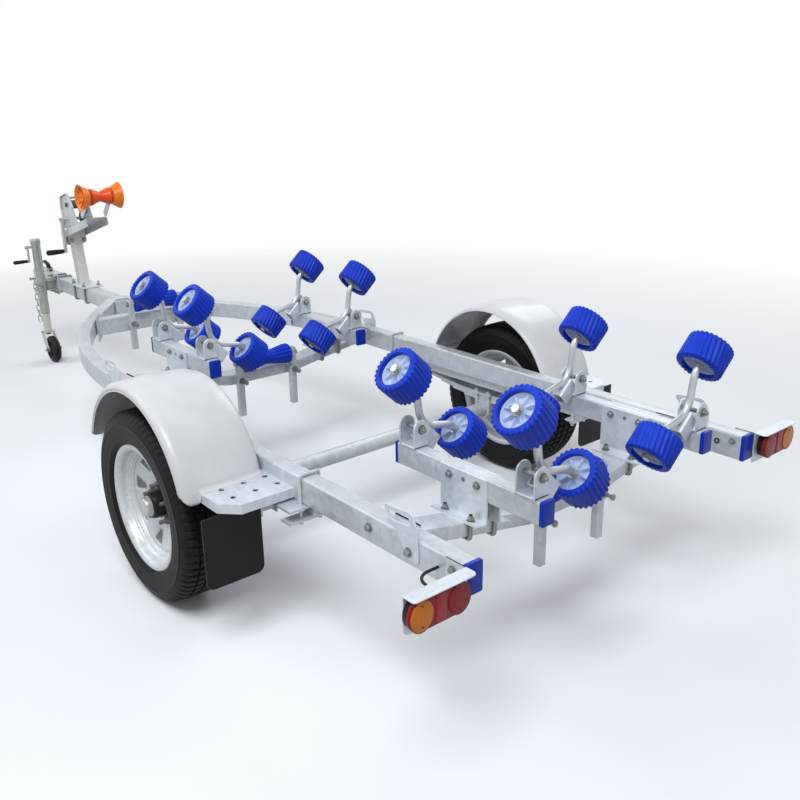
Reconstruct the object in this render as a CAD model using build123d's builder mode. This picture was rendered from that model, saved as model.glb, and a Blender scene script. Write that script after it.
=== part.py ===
from build123d import *
from math import acos, asin, cos, degrees, radians, sin, sqrt, tan
import os

# A boat trailer with rocking roller arms, in millimetres.
# +X points forward to the coupler, +Y to the left, +Z up. The origin lies on the ground at the
# middle of the trailer's bounding box. Places given "from the axle" are turned into X by along().

os.makedirs("parts", exist_ok=True)

# ---------------------------------------------------------------- overall
rail_rear = -1083.0           # side rails' rear ends, from the axle
frame_half_width = 574.0      # to the rails' outer faces
sheet = 3.0                   # folded brackets
lamp_depth = 32.0
lens_depth = 18.0
cap_thickness = 5.0           # plastic end caps
ball_reach = 3137.0           # centre of the coupler's ball socket, from the axle
coupler_nose_radius = 46.0
front_reach = ball_reach + coupler_nose_radius
rear_reach = cap_thickness + sheet + lamp_depth + lens_depth - rail_rear
axle_x = (rear_reach - front_reach) / 2
fit_gap = 0.05                # radial clearance of pins and shafts that turn
seat_gap = 0.3                # gap between faces that would otherwise touch on a curve

# ---------------------------------------------------------------- wheels and axle
tyre_radius = 287.5
tyre_width = 178.0
tyre_tread_width = 136.0
tyre_bulge_radius = 257.0     # where the tyre is widest
tyre_lip_step = 13.0          # narrower there by this much at the rim, each side
track = 2 * frame_half_width + 322.0
bead_radius = 170.0
rim_width = 152.0
rim_lip = 19.0
rim_wall = 4.0
rim_well_radius = 152.0
rim_well_width = 76.0
disc_offset = 10.0            # wheel disc's outer face round the hub, outboard of the wheel's middle
disc_edge_offset = 31.0       # the same at the rim's well
disc_flat_radius = 70.0       # the disc is flat out to here
disc_wall = 5.0
disc_windows = 8
disc_window_radius = 118.0
disc_window_width = 34.0      # at its outer end
disc_window_length = 34.0
disc_window_lean = 73.0       # side's angle from the outer end
hub_radius = 40.0
hub_flange_radius = 66.0
hub_flange_thickness = 10.0
hub_inner_reach = 56.0        # hub's inboard end from the wheel's middle
hub_outer_reach = 54.0
stud_circle = 114.3
stud_count = 5
nut_radius = 11.0
nut_height = 14.0
cap_radius = 27.0
cap_length = 19.0
axle_radius = 26.0
axle_drop = 25.5              # axle tube's centre below the wheels' centres
stub_radius = 17.5
stub_reach = 46.0             # stub's end outboard of the wheel's middle
brake_flange_radius = 54.0
brake_flange_thickness = 10.0
hub_gap = 5.0                 # hub's inboard end to the flange

# ---------------------------------------------------------------- side rails and drawbar
rail_width = 50.0
rail_height = 75.0
tube_wall = 3.0
rail_top = 471.0
rail_bend_start = 720.0       # from the axle
rail_bend_radius = 1775.0     # on the rail's centreline
rail_bend_angle = 35.5
drawbar_width = 70.0
drawbar_wall = 4.0
drawbar_front = 2905.0

# ---------------------------------------------------------------- crossmembers
cross_depth = 80.0            # fore and aft
cross_height = 40.0
cross_front_rear = 1600.0     # straight front crossmember's rear face, from the axle
cross_front_depth = 50.0
end_plate_thickness = 6.0
end_plate_length = 120.0
wing_plate_length = 88.0
cross_flat_half = 140.0       # half length of the flat middle
# columns: rear face from the axle, top of the flat middle, rise of the wings
roller_crossmembers = [(635.0, 402.0, 66.0), (-881.0, 382.0, 72.0)]

# ---------------------------------------------------------------- keel rollers
post_side = 25.0
post_wall = 2.5
post_half_gap = 119.0         # post centres to the middle plane
post_above_pin = 22.0
post_below_pin = 210.0
sleeve_wall = 4.0
sleeve_height = 34.0
lock_bolt_radius = 6.0
lock_bolt_length = 34.0
lock_head_radius = 10.0
lock_head_length = 9.0
keel_pin_radius = 8.0
keel_roller_length = 200.0
keel_roller_end_radius = 39.0
keel_roller_waist_radius = 26.0
keel_roller_rim = 18.0        # straight part at each end
# columns: name, carrying crossmember's rear face from the axle, its middle height, pin height
keel_rollers = [
    ("keel_roller_front", 1600.0, 433.5, 522.0),
    ("keel_roller_mid", 635.0, 382.0, 449.0),
    ("keel_roller_rear", -881.0, 362.0, 436.0),
]

# ---------------------------------------------------------------- beams and rocking arms
beam_width = 40.0
beam_height = 60.0
beam_top = 540.0
beam_half_gap = 320.0         # beams' centres to the middle plane
bracket_length = 160.0
bracket_thickness = 5.0
bracket_foot = 34.0
u_bolt_radius = 5.0
u_bolt_rise = 14.0            # above the foot
u_nut_radius = 9.0
u_nut_height = 8.0
ear_thickness = 5.0
ear_gap = 50.0
ear_width = 50.0
ear_base = 5.0
pivot_height = 50.0           # above the beam
pivot_pin_radius = 6.0
pivot_head_radius = 10.0
pivot_head_length = 8.0
rocker_width = 46.0           # between the ears
rocker_height = 36.0
rocker_wall = 4.0
rocker_above = 42.0           # rocker tube's open end beyond the pivot, up and outboard
rocker_below = 22.0
arm_bar_radius = 10.0
arm_bend_radii = [52.0, 62.0, 52.0]
arm_elbow = (-24.0, -4.0)     # bar's lowest corner from the pivot: outboard, up
roller_radius = 64.0
roller_width = 80.0
roller_tilt = 42.0            # roller axes above the level, rising outboard
roller_edge = 5.0
roller_recess_radius = 46.0
roller_recess = 10.0
collar_radius = 15.0
collar_length = 8.0
collar_gap = 1.0
bar_beyond = 4.0              # bar's end beyond its nut
outer_roller_place = (33.0, 143.0)      # roller centre from the pivot: outboard, up
inner_roller_place = (-168.0, -61.0)
# columns: name, beams' middle from the axle, beam length, arms' half distance, crossmember row
beam_rows = [
    ("front", 655.0, 460.0, 175.0, 0),
    ("rear", -835.0, 500.0, 203.0, 1),
]

# ---------------------------------------------------------------- springs, fenders and steps
spring_y = frame_half_width + 26.0
spring_width = 44.0
leaf_thickness = 6.0
leaf_half_lengths = [330.0, 300.0, 235.0, 170.0, 105.0]
spring_eye_rise = 26.0        # main leaf's eyes above its middle
spring_eye_radius = 14.0
spring_pad = 6.0              # seat between the axle and the lowest leaf
saddle_half = 36.0
spring_beam_half = 500.0      # beam under the rail that carries the hangers
spring_beam_wall = 6.0
spring_beam_inner = frame_half_width - 26.0
spring_beam_height = 34.0
hanger_thickness = 5.0
hanger_width = 50.0
hanger_drop = 66.0            # below the rail
spring_bolt_radius = 7.0
spring_bolt_head = 7.0
rail_u_bolt_place = 478.0
clamp_strap_width = 44.0
clamp_strap_thickness = 6.0
fender_axis_z = 340.0
fender_crown = 322.0          # crown's radius about the fender's own axis
fender_drop = 22.0            # crown down to the lips
fender_shoulder = 21.5
fender_inner_y = frame_half_width + 8.0
fender_outer_y = frame_half_width + 251.0
fender_wall = 2.5
fender_foot_z = 404.0         # fender's outboard part reaches below the steps' tops
fender_foot_gap = 2.0
step_top = 430.0
step_skirt = 26.0
step_near = 274.0             # from the axle, both ways
step_far = 442.0
step_outer_y = frame_half_width + 202.0
step_chamfer = 46.0
step_hole_radius = 8.0
step_hole_rows = [326.0, 387.0]
step_hole_ys = [frame_half_width + out for out in (16.0, 82.5, 149.0)]
flap_place = -400.0           # from the axle
flap_thickness = 4.0
flap_inner_y = frame_half_width + 81.0
flap_outer_y = fender_outer_y
flap_bottom = 200.0
flap_corner = 22.0
flap_tab_width = 90.0

# ---------------------------------------------------------------- lamps, caps and loops
lamp_bracket_outer_y = frame_half_width + 176.0
lamp_bracket_drop = 74.0
lamp_bracket_depth = 38.0
lamp_bracket_return = 62.0
lamp_length = 170.0
lamp_height = 64.0
lens_inset = 2.0
lead_radius = 3.5
lead_straight = 46.0
lead_turn_radius = 40.0
cap_plug = 12.0
cap_plug_gap = 0.3
loop_thickness = 4.0
loop_places = [-825.0, 770.0]           # loops' front top corners from the axle
loop_outline = [(0, 43), (-86, 48), (-115, -3), (-117, -67), (-55, -67), (-20, 4)]
loop_slot = [(-17, 33), (-79, 37), (-98, 8), (-36, 14)]

# ---------------------------------------------------------------- winch post and bow roller
winch_post_place = 2433.0     # middle of its base plate
winch_post_foot = 2431.0      # rear face at the base plate
winch_post_depth = 62.0
winch_post_width = 50.0
winch_post_wall = 4.0
winch_post_lean = 10.0        # forward
post_plate_length = 200.0
post_plate_width = 110.0
post_plate_thickness = 8.0
post_u_bolt_half = 71.0
saddle_width = 94.0
saddle_bottom = 691.0
saddle_drop = 11.0            # front plate reaches lower, square to the post
saddle_thickness = 5.0
saddle_bolt_half = 33.0
saddle_bolt_rise = 19.0       # above the plates' lower edges
saddle_bolt_radius = 5.0
saddle_head_radius = 9.0
saddle_head_height = 8.0
gusset_foot = 2528.0          # small gusset in front of the post
gusset_top = 566.0
gusset_thickness = 6.0
arm_slope = 15.0
arm_front_place = 2553.0
arm_front_z = 752.4
arm_length = 393.3
arm_width = 112.0
arm_height = 40.0
arm_wall = 4.0
bow_ear_width = 32.0
bow_ear_thickness = 6.0
bow_ear_half_gap = 50.0
bow_pin_radius = 8.0
bow_roller_place = 2100.0
bow_roller_z = 962.0
bow_ear_foot = (22.0, 20.0)   # ear's lower centre: short of the arm's end, above its floor
bow_spool_waist = 24.0
bow_spool_edge = 42.0
bow_bell_edge = 44.0
bow_bell_radius = 65.0
bow_bell_length = 40.0
bow_side_gap = 3.0
bow_bell_recess = 18.0
winch_near = 62.0             # winch frame's ends along the arm
winch_far = 238.0
winch_height = 168.0
winch_plate = 4.0
winch_half_width = 45.0
winch_drum_along = 152.0      # drum shaft along the arm and above its floor
winch_drum_up = 112.0
winch_shaft_radius = 8.0
winch_drum_radius = 22.0
winch_flange_radius = 46.0
winch_gear_radius = 54.0
winch_gear_width = 8.0
winch_gap = 3.0
crank_along = 96.0
crank_up = 48.0
pinion_radius = 26.0
crank_y = 70.0
crank_arm_length = 165.0
crank_bar_radius = 7.0
grip_radius = 14.0
grip_length = 92.0

# ---------------------------------------------------------------- jockey wheel, coupler, chain
jockey_place = 2800.0
jockey_y = 118.0
jockey_tube_radius = 24.0
jockey_tube_wall = 3.0
jockey_tube_top = 680.0
jockey_tube_bottom = 275.0
jockey_leg_bottom = 172.0
jockey_leg_top = 500.0
jockey_cap_radius = 27.0
jockey_cap_height = 14.0
jockey_leg_wall = 3.0
jockey_leg_gap = 0.1
jockey_pin_radius = 8.0
jockey_pin_head = 14.0
jockey_plate = 6.0
jockey_wheel_radius = 75.0
jockey_wheel_width = 42.0
jockey_wheel_edge = 14.0
jockey_trail = 52.0
jockey_fork_half = 27.0
jockey_fork_width = 40.0
jockey_axle_radius = 6.0
jockey_fork_plate = 5.0
jockey_fork_gap = 1.0
jockey_crank_z = 652.0
jockey_crank_out = 24.0
jockey_crank_bar = 6.0
jockey_crank_arm = 76.0
jockey_grip_radius = 10.0
jockey_grip_length = 78.0
clamp_radius = 31.0
clamp_height = 58.0
clamp_plate_length = 96.0
clamp_plate_height = 112.0
clamp_shelf_length = 62.0
clamp_u_bolt_half = 38.0
ball_radius = 25.0
ball_play = 0.25
ball_z = 430.0
socket_bottom = 416.0
socket_radius = 36.0
coupler_wall = 5.0
coupler_overlap = 48.0
coupler_bottom = 412.0
coupler_gap = 0.3
handle_width = 24.0
handle_thickness = 10.0
# columns: from the axle, height
handle_route = [(2982.0, 474.0), (3006.0, 514.0), (3060.0, 526.0), (3112.0, 512.0)]
handle_bend = 20.0
chain_bolt_place = 3098.0
chain_bolt_z = 424.0
chain_bolt_radius = 5.0
chain_bolt_reach = 40.0       # out from the coupler's side
chain_wire = 7.0
chain_pitch = 33.0
chain_width = 26.0
chain_slack = 1.1
chain_corner = 8.0
chain_inner_corner = 2.4
chain_links = 8


def along(from_axle):
    """X of a place given by its distance ahead of the axle."""
    return axle_x + from_axle


def export(piece, name):
    """Labels a finished piece and writes its STEP file."""
    piece.label = name
    export_step(piece, f"parts/{name}.step")


def both_sides(piece):
    """The piece together with its mirror image on the trailer's other side."""
    return Compound(children=[piece, piece.mirror(Plane.XZ)])


# ================================================================ side rails and drawbar
rail_rear_x = along(rail_rear)
rail_bend_x = along(rail_bend_start)
rail_centre_y = frame_half_width - rail_width / 2
rail_inner_y = frame_half_width - rail_width
rail_centre_z = rail_top - rail_height / 2
rail_bottom = rail_top - rail_height
bend = radians(rail_bend_angle)
bend_inner_radius = rail_bend_radius - rail_width / 2
bend_axis_y = rail_centre_y - rail_bend_radius
drawbar_half = drawbar_width / 2
# where the straight inner faces past the bend reach the drawbar's sides
bend_end_x = rail_bend_x + bend_inner_radius * sin(bend)
bend_end_y = bend_axis_y + bend_inner_radius * cos(bend)
drawbar_rear_x = bend_end_x + (bend_end_y - drawbar_half) / tan(bend)
rail_nose = (bend_end_y + rail_width) / sin(bend)

with BuildLine(Plane.XY.offset(rail_centre_z)) as rail_path:
    Line((rail_rear_x, rail_centre_y), (rail_bend_x, rail_centre_y))
    JernArc((rail_bend_x, rail_centre_y), (1, 0), rail_bend_radius, -rail_bend_angle)
    PolarLine(rail_path.edges()[-1] @ 1, rail_nose, -rail_bend_angle)
rail_section = Plane(
    origin=(rail_rear_x, rail_centre_y, rail_centre_z), x_dir=(0, 1, 0), z_dir=(1, 0, 0)
)
with BuildPart() as rail_left:
    with BuildSketch(rail_section):
        Rectangle(rail_width, rail_height)
        Rectangle(rail_width - 2 * tube_wall, rail_height - 2 * tube_wall, mode=Mode.SUBTRACT)
    sweep(path=rail_path.wire())
    split(bisect_by=Plane.XZ.offset(-drawbar_half), keep=Keep.BOTTOM)
export(rail_left.part, "rail_left")
export(rail_left.part.mirror(Plane.XZ), "rail_right")

drawbar_length = along(drawbar_front) - drawbar_rear_x
with BuildPart() as drawbar:
    with BuildSketch(Plane(origin=(drawbar_rear_x, 0, rail_centre_z), x_dir=(0, 1, 0), z_dir=(1, 0, 0))):
        Rectangle(drawbar_width, rail_height)
        Rectangle(
            drawbar_width - 2 * drawbar_wall, rail_height - 2 * drawbar_wall, mode=Mode.SUBTRACT
        )
    extrude(amount=drawbar_length)
export(drawbar.part, "drawbar")

# ================================================================ crossmembers
post_sleeve_side = post_side + 2 * (sleeve_wall + seat_gap)


def post_centre_x(rear_face):
    """X of a keel roller's posts, whose sleeves stand on this rear face."""
    return along(rear_face) - post_sleeve_side / 2


def post_sleeves(rear_face, middle_z):
    """Two sleeves with their locking bolts on a crossmember's rear face."""
    x = post_centre_x(rear_face)
    bolt_x = x - post_side / 2 - seat_gap - lock_bolt_length
    with Locations((x, post_half_gap, middle_z), (x, -post_half_gap, middle_z)):
        Box(post_sleeve_side, post_sleeve_side, sleeve_height)
    with Locations(
        (bolt_x + lock_bolt_length / 2, post_half_gap, middle_z),
        (bolt_x + lock_bolt_length / 2, -post_half_gap, middle_z),
    ):
        Cylinder(lock_bolt_radius, lock_bolt_length, rotation=(0, 90, 0))
    with Locations((bolt_x, post_half_gap, middle_z), (bolt_x, -post_half_gap, middle_z)):
        Cylinder(lock_head_radius, lock_head_length, rotation=(0, 90, 0))
    with Locations((x, post_half_gap, middle_z), (x, -post_half_gap, middle_z)):
        Box(
            post_side + 2 * seat_gap,
            post_side + 2 * seat_gap,
            sleeve_height,
            mode=Mode.SUBTRACT,
        )


# straight front crossmember, its end plates turned to the curved rails' inner faces
cross_front_x = along(cross_front_rear) + cross_front_depth / 2
plate_turn = asin((cross_front_x - rail_bend_x) / bend_inner_radius)
plate_reach = sqrt(bend_inner_radius**2 - (end_plate_length / 2) ** 2) - seat_gap
plate_out = Vector(sin(plate_turn), cos(plate_turn), 0)
plate_back = Vector(rail_bend_x, bend_axis_y, rail_centre_z) + plate_out * (
    plate_reach - end_plate_thickness
)
with BuildPart() as crossmember_front:
    with BuildSketch(Plane.XZ.offset(-frame_half_width)):
        with Locations((cross_front_x, rail_centre_z)):
            Rectangle(cross_front_depth, rail_height)
            Rectangle(
                cross_front_depth - 2 * tube_wall, rail_height - 2 * tube_wall, mode=Mode.SUBTRACT
            )
    extrude(amount=2 * frame_half_width)
    for side in (1, -1):
        split(
            bisect_by=Plane(
                origin=(plate_back.X, side * plate_back.Y, plate_back.Z),
                z_dir=(plate_out.X, side * plate_out.Y, 0),
            ),
            keep=Keep.BOTTOM,
        )
    for side in (1, -1):
        plate_plane = Plane(
            origin=(plate_back.X, side * plate_back.Y, plate_back.Z),
            x_dir=(plate_out.Y, -side * plate_out.X, 0),
            z_dir=(plate_out.X, side * plate_out.Y, 0),
        )
        with BuildSketch(plate_plane):
            Rectangle(end_plate_length, rail_height)
        extrude(amount=end_plate_thickness)
    post_sleeves(cross_front_rear, rail_centre_z)
export(crossmember_front.part, "crossmember_front")

cross_end_y = rail_inner_y - end_plate_thickness


def wing_rise(row, y):
    """Height of a crossmember's top at y, from its flat middle out along a wing."""
    rear_face, flat_top, rise = roller_crossmembers[row]
    slope = rise / (cross_end_y - cross_flat_half)
    return flat_top + slope * max(0.0, abs(y) - cross_flat_half)


crossmember_set = []
for rear_face, flat_top, rise in roller_crossmembers:
    wing_top = flat_top + rise
    with BuildPart() as crossmember:
        for inset, mode in ((0, Mode.ADD), (tube_wall, Mode.SUBTRACT)):
            with BuildSketch(Plane.YZ.offset(along(rear_face) + inset)):
                with BuildLine():
                    Polyline(
                        (-cross_end_y, wing_top - inset),
                        (-cross_flat_half, flat_top - inset),
                        (cross_flat_half, flat_top - inset),
                        (cross_end_y, wing_top - inset),
                        (cross_end_y, wing_top - cross_height + inset),
                        (cross_flat_half, flat_top - cross_height + inset),
                        (-cross_flat_half, flat_top - cross_height + inset),
                        (-cross_end_y, wing_top - cross_height + inset),
                        close=True,
                    )
                make_face()
            extrude(amount=cross_depth - 2 * inset, mode=mode)
        plate_bottom = wing_top - cross_height - 4
        plate_height = rail_top - max(plate_bottom, rail_bottom)
        plate_y = cross_end_y + end_plate_thickness / 2
        plate_place = along(rear_face) + cross_depth / 2
        with Locations(
            (plate_place, plate_y, rail_top - plate_height / 2),
            (plate_place, -plate_y, rail_top - plate_height / 2),
        ):
            Box(wing_plate_length, end_plate_thickness, plate_height)
        post_sleeves(rear_face, flat_top - cross_height / 2)
    crossmember_set.append(crossmember.part)
export(Compound(children=crossmember_set), "roller_crossmembers")

# ================================================================ keel rollers and posts
keel_post_sets = []
for name, rear_face, middle_z, pin_z in keel_rollers:
    post_x = post_centre_x(rear_face)
    post_z = pin_z + (post_above_pin - post_below_pin) / 2
    post_height = post_above_pin + post_below_pin
    pin_half = post_half_gap + post_side / 2
    with BuildPart() as posts:
        with Locations((post_x, post_half_gap, post_z), (post_x, -post_half_gap, post_z)):
            Box(post_side, post_side, post_height)
            Box(
                post_side - 2 * post_wall,
                post_side - 2 * post_wall,
                post_height,
                mode=Mode.SUBTRACT,
            )
        with Locations((post_x, 0, pin_z)):
            Cylinder(keel_pin_radius, 2 * pin_half, rotation=(90, 0, 0))
        with Locations((post_x, pin_half, pin_z), (post_x, -pin_half, pin_z)):
            Cylinder(lock_head_radius + 2, lock_head_length, rotation=(90, 0, 0))
    keel_post_sets.append(posts.part)

    with BuildPart() as keel_roller:
        half = keel_roller_length / 2
        with BuildSketch(Plane.YZ.offset(post_x)):
            with BuildLine():
                Polyline(
                    (-half, pin_z + keel_pin_radius + fit_gap),
                    (-half, pin_z + keel_roller_end_radius),
                    (keel_roller_rim - half, pin_z + keel_roller_end_radius),
                    (0, pin_z + keel_roller_waist_radius),
                    (half - keel_roller_rim, pin_z + keel_roller_end_radius),
                    (half, pin_z + keel_roller_end_radius),
                    (half, pin_z + keel_pin_radius + fit_gap),
                    close=True,
                )
            make_face()
        revolve(axis=Axis((post_x, 0, pin_z), (0, 1, 0)))
    export(keel_roller.part, name)
export(Compound(children=keel_post_sets), "keel_roller_posts")

# ================================================================ roller beams on their brackets
beam_bottom = beam_top - beam_height
pivot_z = beam_top + pivot_height
beam_sets = []
beam_caps = []
arm_places = []
for name, middle, length, arm_half, row in beam_rows:
    bracket_x = along(roller_crossmembers[row][0]) + cross_depth / 2
    beam_x = along(middle)
    with BuildPart() as beam:
        with Locations((beam_x, beam_half_gap, beam_top - beam_height / 2)):
            Box(length, beam_width, beam_height)
            Box(length, beam_width - 2 * tube_wall, beam_height - 2 * tube_wall, mode=Mode.SUBTRACT)
        for outward in (1, -1):
            leg_y = beam_half_gap + outward * beam_width / 2
            face_y = leg_y + outward * bracket_thickness
            foot_y = face_y + outward * bracket_foot
            with BuildSketch(Plane.YZ.offset(bracket_x - bracket_length / 2)):
                with BuildLine():
                    Polyline(
                        (leg_y, beam_top),
                        (face_y, beam_top),
                        (face_y, wing_rise(row, face_y) + bracket_thickness),
                        (foot_y, wing_rise(row, foot_y) + bracket_thickness),
                        (foot_y, wing_rise(row, foot_y)),
                        (leg_y, wing_rise(row, leg_y)),
                        close=True,
                    )
                make_face()
            extrude(amount=bracket_length)
            # U-bolt round the crossmember, through the foot
            bolt_y = (face_y + foot_y) / 2
            bolt_half = cross_depth / 2 + u_bolt_radius + seat_gap
            bolt_top = wing_rise(row, bolt_y) + bracket_thickness + u_bolt_rise
            wing_slope = (wing_rise(row, foot_y) - wing_rise(row, face_y)) / (foot_y - face_y)
            bolt_drop = u_bolt_radius * sqrt(1 + wing_slope**2) + seat_gap
            bolt_low = wing_rise(row, bolt_y) - cross_height - bolt_drop
            with BuildLine(Plane.XZ.offset(-bolt_y)) as u_bolt:
                FilletPolyline(
                    (bracket_x - bolt_half, bolt_top),
                    (bracket_x - bolt_half, bolt_low),
                    (bracket_x + bolt_half, bolt_low),
                    (bracket_x + bolt_half, bolt_top),
                    radius=u_bolt_radius + seat_gap,
                )
            with BuildSketch(Plane(origin=u_bolt.wire() @ 0, z_dir=(0, 0, -1))):
                Circle(u_bolt_radius)
            sweep(path=u_bolt.wire())
            nut_z = bolt_top - u_bolt_rise + u_nut_height / 2 + 1
            with Locations((bracket_x - bolt_half, bolt_y, nut_z), (bracket_x + bolt_half, bolt_y, nut_z)):
                Cylinder(u_nut_radius, u_nut_height + 2)
        for fore in (1, -1):
            ear_x = beam_x + fore * arm_half
            with Locations((ear_x, beam_half_gap, beam_top + ear_base / 2)):
                Box(ear_gap + 2 * ear_thickness, ear_width, ear_base)
            for end in (1, -1):
                ear_face = ear_x + end * (ear_gap + ear_thickness) / 2
                with Locations((ear_face, beam_half_gap, (beam_top + pivot_z) / 2)):
                    Box(ear_thickness, ear_width, pivot_height)
                with Locations((ear_face, beam_half_gap, pivot_z)):
                    Cylinder(ear_width / 2, ear_thickness, rotation=(0, 90, 0))
                head_x = ear_x + end * (ear_gap / 2 + ear_thickness + pivot_head_length / 2)
                with Locations((head_x, beam_half_gap, pivot_z)):
                    Cylinder(pivot_head_radius, pivot_head_length, rotation=(0, 90, 0))
            with Locations((ear_x, beam_half_gap, pivot_z)):
                Cylinder(pivot_pin_radius, ear_gap + ear_thickness, rotation=(0, 90, 0))
            arm_places.append((name, fore, ear_x))
    beam_sets.append(beam.part)
    beam_sets.append(beam.part.mirror(Plane.XZ))

    with BuildPart() as beam_cap:
        for end in (1, -1):
            cap_x = beam_x + end * (length + cap_thickness) / 2
            plug_x = beam_x + end * (length - cap_plug) / 2
            with Locations((cap_x, beam_half_gap, beam_top - beam_height / 2)):
                Box(cap_thickness, beam_width, beam_height)
            with Locations((plug_x, beam_half_gap, beam_top - beam_height / 2)):
                Box(
                    cap_plug,
                    beam_width - 2 * (tube_wall + cap_plug_gap),
                    beam_height - 2 * (tube_wall + cap_plug_gap),
                )
    beam_caps.append(beam_cap.part)
    beam_caps.append(beam_cap.part.mirror(Plane.XZ))
export(Compound(children=beam_sets), "roller_beams")

with BuildPart() as rail_cap:
    with Locations((rail_rear_x - cap_thickness / 2, rail_centre_y, rail_centre_z)):
        Box(cap_thickness, rail_width, rail_height)
    with Locations((rail_rear_x + cap_plug / 2, rail_centre_y, rail_centre_z)):
        Box(
            cap_plug,
            rail_width - 2 * (tube_wall + cap_plug_gap),
            rail_height - 2 * (tube_wall + cap_plug_gap),
        )
export(Compound(children=beam_caps + [rail_cap.part, rail_cap.part.mirror(Plane.XZ)]), "end_caps")

# ================================================================ rocking arms and their rollers
tilt = radians(roller_tilt)
axis_out = Vector(0, cos(tilt), sin(tilt))
axis_up = Vector(0, -sin(tilt), cos(tilt))
roller_hub_half = roller_width / 2 - roller_recess
bar_tip = roller_hub_half + collar_gap + collar_length + bar_beyond


def arm_point(place):
    """A point in the arm's plane from its place outboard of and above the pivot."""
    return Vector(0, beam_half_gap + place[0], pivot_z + place[1])


outer_centre = arm_point(outer_roller_place)
inner_centre = arm_point(inner_roller_place)
roller_run = roller_hub_half + 24

for name, fore, ear_x in arm_places:
    shift = Vector(ear_x, 0, 0)
    pivot = Vector(ear_x, beam_half_gap, pivot_z)
    with BuildPart() as arm:
        rocker_plane = Plane(
            origin=pivot - axis_out * rocker_below, x_dir=(1, 0, 0), z_dir=axis_out
        )
        with BuildSketch(rocker_plane):
            Rectangle(rocker_width, rocker_height)
            Rectangle(
                rocker_width - 2 * rocker_wall, rocker_height - 2 * rocker_wall, mode=Mode.SUBTRACT
            )
        extrude(amount=rocker_above + rocker_below)
        with Locations(pivot):
            Cylinder(
                pivot_pin_radius + fit_gap, rocker_width, rotation=(0, 90, 0), mode=Mode.SUBTRACT
            )
        with BuildLine() as bar_path:
            FilletPolyline(
                shift + inner_centre - axis_out * bar_tip,
                shift + inner_centre + axis_out * roller_run,
                shift + arm_point(arm_elbow),
                shift + outer_centre - axis_out * roller_run,
                shift + outer_centre + axis_out * bar_tip,
                radius=arm_bend_radii,
            )
        with BuildSketch(Plane(origin=bar_path.wire() @ 0, x_dir=(1, 0, 0), z_dir=axis_out)):
            Circle(arm_bar_radius)
        sweep(path=bar_path.wire())
        for centre in (outer_centre, inner_centre):
            for end in (1, -1):
                collar_foot = roller_hub_half + collar_gap
                collar_plane = Plane(
                    origin=shift + centre + axis_out * (end * collar_foot),
                    x_dir=(1, 0, 0),
                    z_dir=axis_out * end,
                )
                with BuildSketch(collar_plane):
                    Circle(collar_radius)
                extrude(amount=collar_length)
    rollers = []
    for centre in (outer_centre, inner_centre):
        roller_plane = Plane(origin=shift + centre, x_dir=axis_out, z_dir=(1, 0, 0))
        half = roller_width / 2
        with BuildPart() as roller:
            with BuildSketch(roller_plane):
                with BuildLine():
                    Polyline(
                        (-roller_hub_half, arm_bar_radius + fit_gap),
                        (-roller_hub_half, roller_recess_radius),
                        (-half, roller_recess_radius),
                        (-half, roller_radius - roller_edge),
                        (-half + roller_edge, roller_radius),
                        (half - roller_edge, roller_radius),
                        (half, roller_radius - roller_edge),
                        (half, roller_recess_radius),
                        (roller_hub_half, roller_recess_radius),
                        (roller_hub_half, arm_bar_radius + fit_gap),
                        close=True,
                    )
                make_face()
            revolve(axis=Axis(shift + centre, axis_out))
        rollers.append(roller.part)
    place = name + ("_fore" if fore == 1 else "_aft")
    export(arm.part, f"rocker_arm_{place}_left")
    export(arm.part.mirror(Plane.XZ), f"rocker_arm_{place}_right")
    for where, roller_part in zip(("outer", "inner"), rollers):
        export(roller_part, f"hull_roller_{place}_{where}_left")
        export(roller_part.mirror(Plane.XZ), f"hull_roller_{place}_{where}_right")

# ================================================================ wheels and tyres
wheel_half = track / 2
bead_gap = 0.3
tyre_half = tyre_width / 2
tread_half = tyre_tread_width / 2
rim_half = rim_width / 2
wheel_section = Plane(origin=(axle_x, wheel_half, tyre_radius), x_dir=(0, 1, 0), z_dir=(1, 0, 0))
wheel_axis = Axis((axle_x, wheel_half, tyre_radius), (0, 1, 0))
# a ring that sits on the rim's two lips
with BuildPart() as tyre:
    with BuildSketch(wheel_section):
        with BuildLine():
            Polyline(
                (-tyre_half + tyre_lip_step, bead_radius + rim_lip + bead_gap),
                (-tyre_half, tyre_bulge_radius),
                (-tread_half, tyre_radius),
                (tread_half, tyre_radius),
                (tyre_half, tyre_bulge_radius),
                (tyre_half - tyre_lip_step, bead_radius + rim_lip + bead_gap),
                close=True,
            )
        make_face()
    revolve(axis=wheel_axis)
export(tyre.part, "tyre_left")
export(tyre.part.mirror(Plane.XZ), "tyre_right")

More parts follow.
